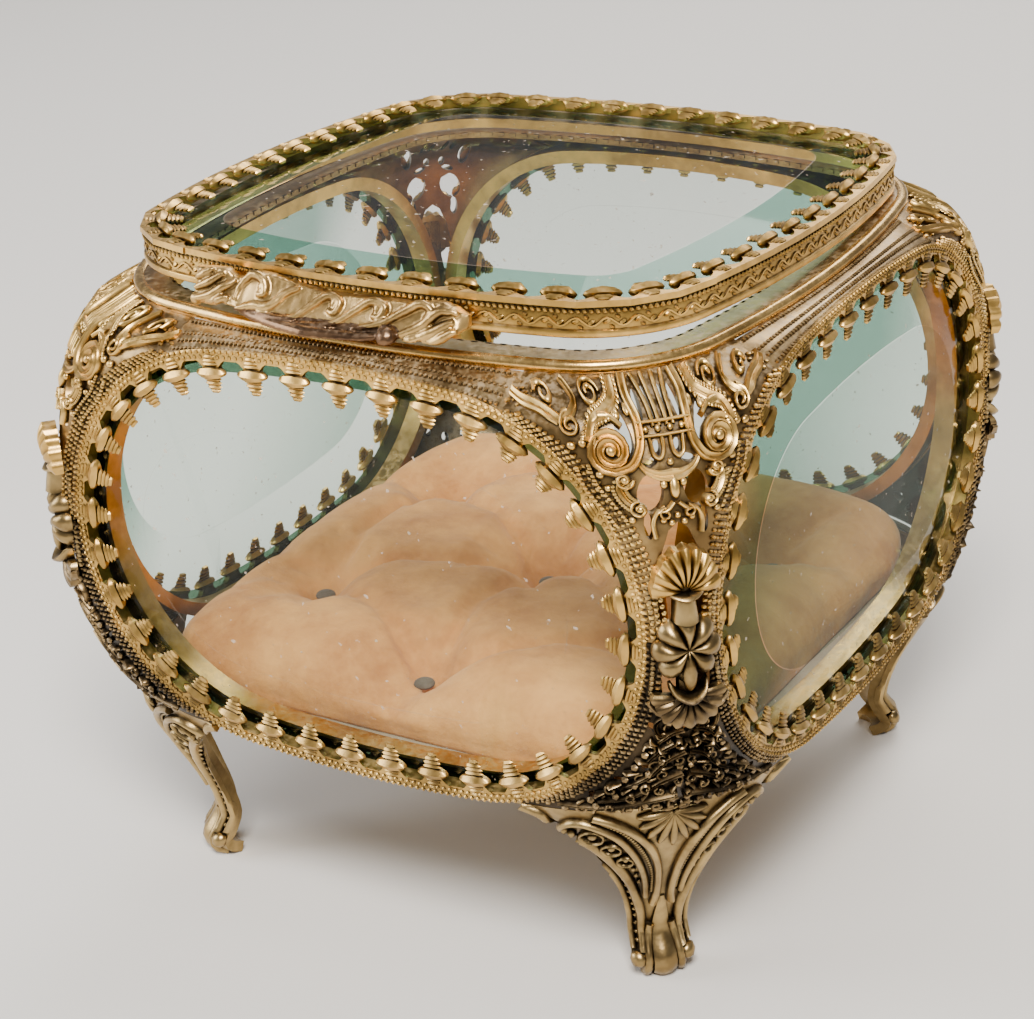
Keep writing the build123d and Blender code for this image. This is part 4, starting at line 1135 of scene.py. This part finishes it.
def leaf_cord(bm, points, width, rise=1.0):
    """A rolled leaf on the front of the lift, along (x, up) points."""
    line = smooth_line(points)
    spots = [lift_body(x / 20.4, min(1.0, max(0.0, up))) for x, up in line]
    ring = [(cos(pi * i / 4), sin(pi * i / 4)) for i in range(8)]
    places = []
    for i, spot in enumerate(spots):
        along = (spots[min(i + 1, len(spots) - 1)] - spots[max(i - 1, 0)]).normalized()
        out = (Vector((0, -1, 0)) - along * along.dot(Vector((0, -1, 0)))).normalized()
        size = width * (1.0 - 0.55 * abs(2 * i / (len(spots) - 1) - 1) ** 1.5) / 2
        rows = Matrix((along.cross(out) * size, along, out * size)).transposed().to_4x4()
        places.append(Matrix.Translation(spot + out * 0.2 * rise) @ rows)
    add(bm, sweep(ring, places))


bm = bmesh.new()
bmesh.ops.create_grid(bm, x_segments=90, y_segments=16, size=1.0)
for vert in bm.verts:
    vert.co = lift_body(vert.co.x, (vert.co.y + 1) / 2)
wall = bmesh.ops.extrude_edge_only(bm, edges=[e for e in bm.edges if e.is_boundary])["geom"]
back = {v for v in wall if isinstance(v, bmesh.types.BMVert)}
for vert in back:
    vert.co.y = LIFT_FACE + 0.5
bmesh.ops.contextual_create(bm, geom=[e for e in bm.edges if e.is_boundary])
deep = [e for e in bm.edges if len({v in back for v in e.verts}) == 2]
bmesh.ops.subdivide_edges(bm, edges=deep, cuts=9)
bmesh.ops.recalc_face_normals(bm, faces=bm.faces)
LEAVES = [
    ([(-19.6, 0.1), (-17.0, 0.25), (-14.8, 0.6), (-13.6, 0.95)], 1.3), ([(-19.8, 0.4), (-17.5, 0.6), (-15.4, 0.9)], 1.2),
    ([(-19.8, 0.7), (-18.4, 0.85), (-17.0, 1.0)], 1.1), ([(-18.6, 0.0), (-16.0, 0.1), (-14.0, 0.35)], 1.2),
    ([(-13.0, 0.3), (-12.6, 0.75), (-11.0, 0.98), (-9.0, 0.85), (-8.6, 0.6), (-9.8, 0.55)], 1.2),
    ([(-12.4, 0.1), (-10.0, 0.3), (-7.4, 0.4), (-5.6, 0.75), (-3.8, 0.95)], 1.3),
    ([(-9.0, 0.2), (-4.0, 0.3), (-1.6, 0.65), (0.6, 0.98), (2.4, 0.85), (2.0, 0.6), (0.9, 0.65)], 1.2),
    ([(-12.0, 0.02), (-6.0, 0.08), (0.0, 0.1), (6.0, 0.1), (9.0, 0.15)], 1.9),
    ([(-3.0, 0.25), (2.0, 0.35), (4.6, 0.65), (7.0, 0.95), (9.0, 0.85), (8.6, 0.6), (7.4, 0.6)], 1.2),
    ([(5.0, 0.3), (9.0, 0.45), (11.6, 0.75), (14.0, 0.98), (15.6, 0.8), (14.6, 0.6)], 1.2),
    ([(11.5, 0.2), (14.5, 0.45), (17.0, 0.8), (19.4, 0.9)], 1.3), ([(12.2, 0.05), (15.6, 0.25), (19.0, 0.55)], 1.4),
    ([(13.0, 0.0), (16.4, 0.05), (19.6, 0.2)], 1.5),
]
for points, width in LEAVES:
    leaf_cord(bm, points, width)
for x, up, radius in ((10.3, 0.1, 1.5), (-19.6, 0.05, 0.9), (-9.2, 0.7, 0.6), (1.6, 0.78, 0.6), (8.0, 0.75, 0.6)):
    bmesh.ops.create_icosphere(bm, subdivisions=2, radius=radius, matrix=Matrix.Translation(lift_body(x / 20.4, up)))
for vert in bm.verts:
    vert.co.z = max(vert.co.z, clear_of_rim(vert.co.x, vert.co.y))
holder = bpy.data.objects.new("wax", as_template(bm))
bpy.context.collection.objects.link(holder)
melt = holder.modifiers.new("melt", "REMESH")
melt.mode, melt.voxel_size = "VOXEL", 0.19
relax = holder.modifiers.new("relax", "SMOOTH")
relax.factor, relax.iterations = 0.5, 1
bm = bmesh.new()
bm.from_object(holder, bpy.context.evaluated_depsgraph_get())
bpy.data.objects.remove(holder)
for vert in bm.verts:
    vert.co.y = max(vert.co.y, -52.0)
for face in bm.faces:
    spot = face.calc_center_median()
    bead_near = (spot - lift_body(10.3 / 20.4, 0.1)).length < 1.75
    face.material_index = 1 if bead_near or (spot.z < LIFT_Z - 1.1 and -15 < spot.x < 8) else 0
bm.transform(AJAR)
print("handle faces:", len(bm.faces))
finish("lift", bm, "lid", [lift_brass, dark_copper], ["lift_handle"])

# %% [markdown]
# The pad is velvet over wadding, drawn down by seven knotted threads. It starts as a flat grid squared off
# with round corners, is given a thickness, and every point of its top is lowered near a thread.


# %% The tufted pad
TUFTS = [(0, 0), (0, 34), (0, -34), (28, 17), (28, -17), (-28, 17), (-28, -17)]
CUSHION_HALF, CUSHION_CORNER, CUSHION_LOW, CUSHION_TOP = 42.8, 15.0, 29.65, 38.25


def rounded_square(u, v, half, corner):
    """Bends a point of a square grid, -1 to 1 both ways, into a square with round corners."""
    x, y = u * half, v * half
    over_x, over_y = (abs(x) - (half - corner)) / corner, (abs(y) - (half - corner)) / corner
    if over_x > 0 and over_y > 0:
        x = (half - corner + corner * over_x * sqrt(1 - over_y**2 / 2)) * (1 if x > 0 else -1)
        y = (half - corner + corner * over_y * sqrt(1 - over_x**2 / 2)) * (1 if y > 0 else -1)
    return x, y


def fabric(name, dark, light, pile):
    """Short-pile cloth: mottled colour, a soft sheen and a fine bump."""
    material, tree, shader = new_material(name)
    place = tree.nodes.new("ShaderNodeTexCoord")
    broad = shader_node(tree, "ShaderNodeTexNoise", Scale=60.0, Detail=4.0, Roughness=0.6)
    fine = shader_node(tree, "ShaderNodeTexNoise", Scale=pile, Detail=2.0)
    for noise_node in (broad, fine):
        tree.links.new(place.outputs["Object"], noise_node.inputs["Vector"])
    colour = ramp(tree, broad.outputs["Fac"], [(0.36, dark), (0.64, light)])
    brushed = shader_node(tree, "ShaderNodeTexNoise", Scale=0.2 * pile, Detail=6.0, Roughness=0.75)
    tree.links.new(place.outputs["Object"], brushed.inputs["Vector"])
    strokes = ramp(tree, brushed.outputs["Fac"], [(0.40, (0.0,) * 3), (0.66, (0.75,) * 3)])
    colour = blended(tree, strokes, blended(tree, 0.35, colour, dark), blended(tree, 0.5, colour, light))
    tree.links.new(colour, shader.inputs["Base Color"])
    shader.inputs["Roughness"].default_value = 0.9
    shader.inputs["Sheen Weight"].default_value = 0.15
    shader.inputs["Sheen Roughness"].default_value = 0.4
    bump = shader_node(tree, "ShaderNodeBump", Strength=0.5, Distance=0.0002)
    tree.links.new(fine.outputs["Fac"], bump.inputs["Height"])
    tree.links.new(bump.outputs["Normal"], shader.inputs["Normal"])
    return material


velvet = fabric("peach velvet", (0.52, 0.195, 0.05), (0.92, 0.44, 0.135), 1500.0)
thread = fabric("grey brown thread", (0.07, 0.050, 0.040), (0.19, 0.145, 0.11), 2500.0)


def pad_height(x, y, edge):
    """Height of the pad's top at x, y, where edge runs from 0 at the outline to 1 well inside it."""
    height = CUSHION_TOP - 0.6 - 4.2 * (1 - edge) ** 2
    for tx, ty in TUFTS:
        height -= 4.2 * max(0.0, 1 - hypot(x - tx, y - ty) / 10.0) ** 1.5
    spot = Vector((x, y)) + 2.5 * noise.noise_vector(Vector((x, y, 0)) / 14.0).to_2d()
    for i, first in enumerate(TUFTS):
        for second in TUFTS[i + 1:]:
            start, way = Vector(first), Vector(second) - Vector(first)
            if way.length < 40:
                share = min(1.0, max(0.0, (spot - start).dot(way) / way.length_squared))
                height -= 1.5 * edge * max(0.0, 1 - (spot - start - way * share).length / 4.0) ** 2
    return height


def swollen(bm, frames=20, cap=2.4, side_cap=0.5, zoom=10.0):
    """Swells a pad as cloth under pressure, ten times its size, and returns it at its own size."""
    cloth_bm = bm.copy()
    bmesh.ops.scale(cloth_bm, vec=(zoom * MM,) * 3, verts=cloth_bm.verts)
    piece = bpy.data.objects.new("wadding", as_template(cloth_bm))
    bpy.context.collection.objects.link(piece)
    held = piece.vertex_groups.new(name="held")
    for vert in piece.data.vertices:
        x, y, z = vert.co / (zoom * MM)
        if z < CUSHION_LOW + 1.0 or min(hypot(x - tx, y - ty) for tx, ty in TUFTS) < 1.6:
            held.add([vert.index], 1.0, "REPLACE")
    cloth = piece.modifiers.new("cloth", "CLOTH")
    cloth.settings.vertex_group_mass = "held"
    cloth.settings.use_pressure, cloth.settings.uniform_pressure_force = True, 4.0
    cloth.settings.shrink_min = -0.06
    cloth.settings.bending_stiffness = 0.3
    cloth.settings.effector_weights.gravity = 0.0
    cloth.point_cache.frame_start, cloth.point_cache.frame_end = 1, frames
    for step in range(1, frames + 1):
        bpy.context.scene.frame_set(step)
    result = piece.evaluated_get(bpy.context.evaluated_depsgraph_get()).to_mesh()
    moves = [vert.co / (zoom * MM) for vert in result.vertices]
    bpy.data.objects.remove(piece)
    bpy.context.scene.frame_set(1)
    for vert, target in zip(bm.verts, moves):
        move = target - vert.co
        if move.length > cap:
            move *= cap / move.length
        out = hypot(move.x, move.y)
        share = min(1.0, side_cap / out) if out and max(abs(vert.co.x), abs(vert.co.y)) > CUSHION_HALF - 2.5 else 1.0
        vert.co += Vector((move.x * share, move.y * share, move.z))


bm = bmesh.new()
bmesh.ops.create_grid(bm, x_segments=64, y_segments=64, size=1.0)
lifted = bmesh.ops.extrude_face_region(bm, geom=bm.faces[:])["geom"]
tops = {v for v in lifted if isinstance(v, bmesh.types.BMVert)}
for vert in bm.verts:
    u, v = vert.co.x, vert.co.y
    edge = min(1.0, CUSHION_HALF * (1 - max(abs(u), abs(v))) / 10.0)
    if vert in tops:
        x, y = rounded_square(u, v, CUSHION_HALF - 0.6, CUSHION_CORNER)
        ripple = 0.5 * edge * noise.noise(Vector((x, y, 0)) / 6.0)
        vert.co = (x, y, pad_height(x, y, edge) + ripple)
    else:
        x, y = rounded_square(u, v, CUSHION_HALF - 1.4, CUSHION_CORNER - 1.4)
        vert.co = (x, y, CUSHION_LOW)
walls = [e for e in bm.edges if len({v in tops for v in e.verts}) == 2]
bmesh.ops.subdivide_edges(bm, edges=walls, cuts=2)
bmesh.ops.recalc_face_normals(bm, faces=bm.faces)
bm.verts.ensure_lookup_table()
swollen(bm)
border = [v for v in bm.verts if v.co.z > CUSHION_LOW + 0.5 and max(abs(v.co.x), abs(v.co.y)) > CUSHION_HALF - 7.0]
for _ in range(4):
    bmesh.ops.smooth_vert(bm, verts=border, factor=0.5, use_axis_x=True, use_axis_y=True, use_axis_z=True)
bmesh.ops.subdivide_edges(bm, edges=bm.edges, cuts=1, use_grid_fill=True, smooth=1.0)
print("pad top after swelling:", round(max(v.co.z for v in bm.verts), 2), "mm")
pad = finish("pad", bm, "casket", [velvet], ["cushion"], 80)
bm = bmesh.new()
for x, y in TUFTS:
    bmesh.ops.create_uvsphere(bm, u_segments=14, v_segments=8, radius=1.5,
                              matrix=Matrix.Translation((x, y, 34.0)) @ Matrix.Diagonal((1, 1, 0.45, 1)))
finish("thread_knots", bm, "casket", [thread], ["cushion_tufts"])
print("tufts:", len(TUFTS))

# %% [markdown]
# The hinge hides behind the lid. Its upper leaf is a low bevelled plate on the lid's back, with the middle
# knuckle joined to it by a web, kept below the claws so that none of it shows from the front.

# %% The lid's hinge leaf
leaf = bmesh.new()
for across, deep, high, y, z in ((24.0, 0.7, 2.2, 44.95, 91.3), (8.0, 3.0, 0.7, 46.5, 90.75)):
    slab = bmesh.new()
    bmesh.ops.create_cube(slab, size=1.0, matrix=Matrix.Translation((0, y, z)) @ Matrix.Diagonal((across, deep, high, 1)))
    bmesh.ops.bevel(slab, geom=slab.edges[:], offset=0.12, affect="EDGES", segments=2, profile=0.5, material=-1)
    add(leaf, slab)
bmesh.ops.create_cone(leaf, cap_ends=True, segments=24, radius1=1.5, radius2=1.5, depth=8.0,
                      matrix=Matrix.Translation((0, 47.9, 90.75)) @ Matrix.Rotation(pi / 2, 4, "Y"))
for x in (-8.0, 8.0):
    bmesh.ops.create_uvsphere(leaf, u_segments=12, v_segments=6, radius=0.7,
                              matrix=Matrix.Translation((x, 45.25, 91.4)) @ Matrix.Diagonal((1, 0.5, 1, 1)))
leaf.transform(AJAR)
print("hinge leaf faces:", len(leaf.faces))
finish("lid_leaf", leaf, "lid", [gold], ["hinge_lid_leaf"], 30)

# %% [markdown]
# The bottom plate, the board under the pad and the rest of the hinge are right as they came, so they keep their
# solids and only take a finish.

# %% Finishes for the plain parts
board_card = fabric("brown board", (0.30, 0.23, 0.16), (0.42, 0.34, 0.25), 900.0)
for node, material in (("base_plate", copper_brass), ("cushion_board", board_card), ("hinge_body_leaf", gold),
                       ("hinge_pin", copper_brass)):
    mesh = bpy.data.objects[node].data
    mesh.materials.clear()
    mesh.materials.append(material)
print("plain parts finished:", 4)

# %% [markdown]
# The box is shown on a plain pale floor in soft studio light, from the photograph's angle. A long lens keeps
# its upright edges nearly parallel.

# %% Floor, lights and camera
floor_bm = bmesh.new()
bmesh.ops.create_grid(floor_bm, x_segments=1, y_segments=1, size=4.0)
floor = bpy.data.objects.new("floor", as_template(floor_bm, "floor"))
bpy.context.collection.objects.link(floor)
floor_material, floor_tree, floor_shader = new_material("pale floor")
floor_shader.inputs["Base Color"].default_value = (0.72, 0.70, 0.67, 1)
floor_shader.inputs["Roughness"].default_value = 0.8
floor.data.materials.append(floor_material)

world = bpy.data.worlds.new("studio")
world.use_nodes = True
world.node_tree.nodes["Background"].inputs["Color"].default_value = (0.93, 0.94, 1.0, 1)
world.node_tree.nodes["Background"].inputs["Strength"].default_value = 0.28
bpy.context.scene.world = world

CAMERA_AT, LOOK_AT = Vector((176.52, -288.96, 199.92)) * MM, Vector((-4.70, 0, 44.865)) * MM


def soft_light(name, place, energy, size, colour):
    lamp = bpy.data.lights.new(name, "AREA")
    lamp.energy, lamp.size, lamp.color = energy, size, colour
    holder = bpy.data.objects.new(name, lamp)
    holder.location = place
    holder.rotation_euler = (Vector((0, 0, 0.05)) - Vector(place)).to_track_quat("-Z", "Y").to_euler()
    bpy.context.collection.objects.link(holder)


soft_light("key", (0.30, -0.50, 0.75), 15.0, 0.30, (1.0, 0.95, 0.88))
soft_light("fill", (-0.70, -0.35, 0.35), 6.0, 0.5, (0.95, 0.97, 1.0))
soft_light("back", (-0.1, 0.6, 0.6), 5.0, 0.5, (1.0, 0.96, 0.9))

lens = bpy.data.cameras.new("camera")
lens.lens, lens.sensor_width, lens.sensor_fit = 89.558, 36.0, "HORIZONTAL"
lens.clip_start = 0.01
camera = bpy.data.objects.new("camera", lens)
camera.location = CAMERA_AT
aim = (LOOK_AT - CAMERA_AT).to_track_quat("-Z", "Y").to_matrix() @ Matrix.Rotation(radians(-3.64), 3, "Z")
camera.rotation_euler = aim.to_euler()
bpy.context.collection.objects.link(camera)
bpy.context.scene.camera = camera
print("camera distance:", round((LOOK_AT - CAMERA_AT).length * 1000, 1), "mm")
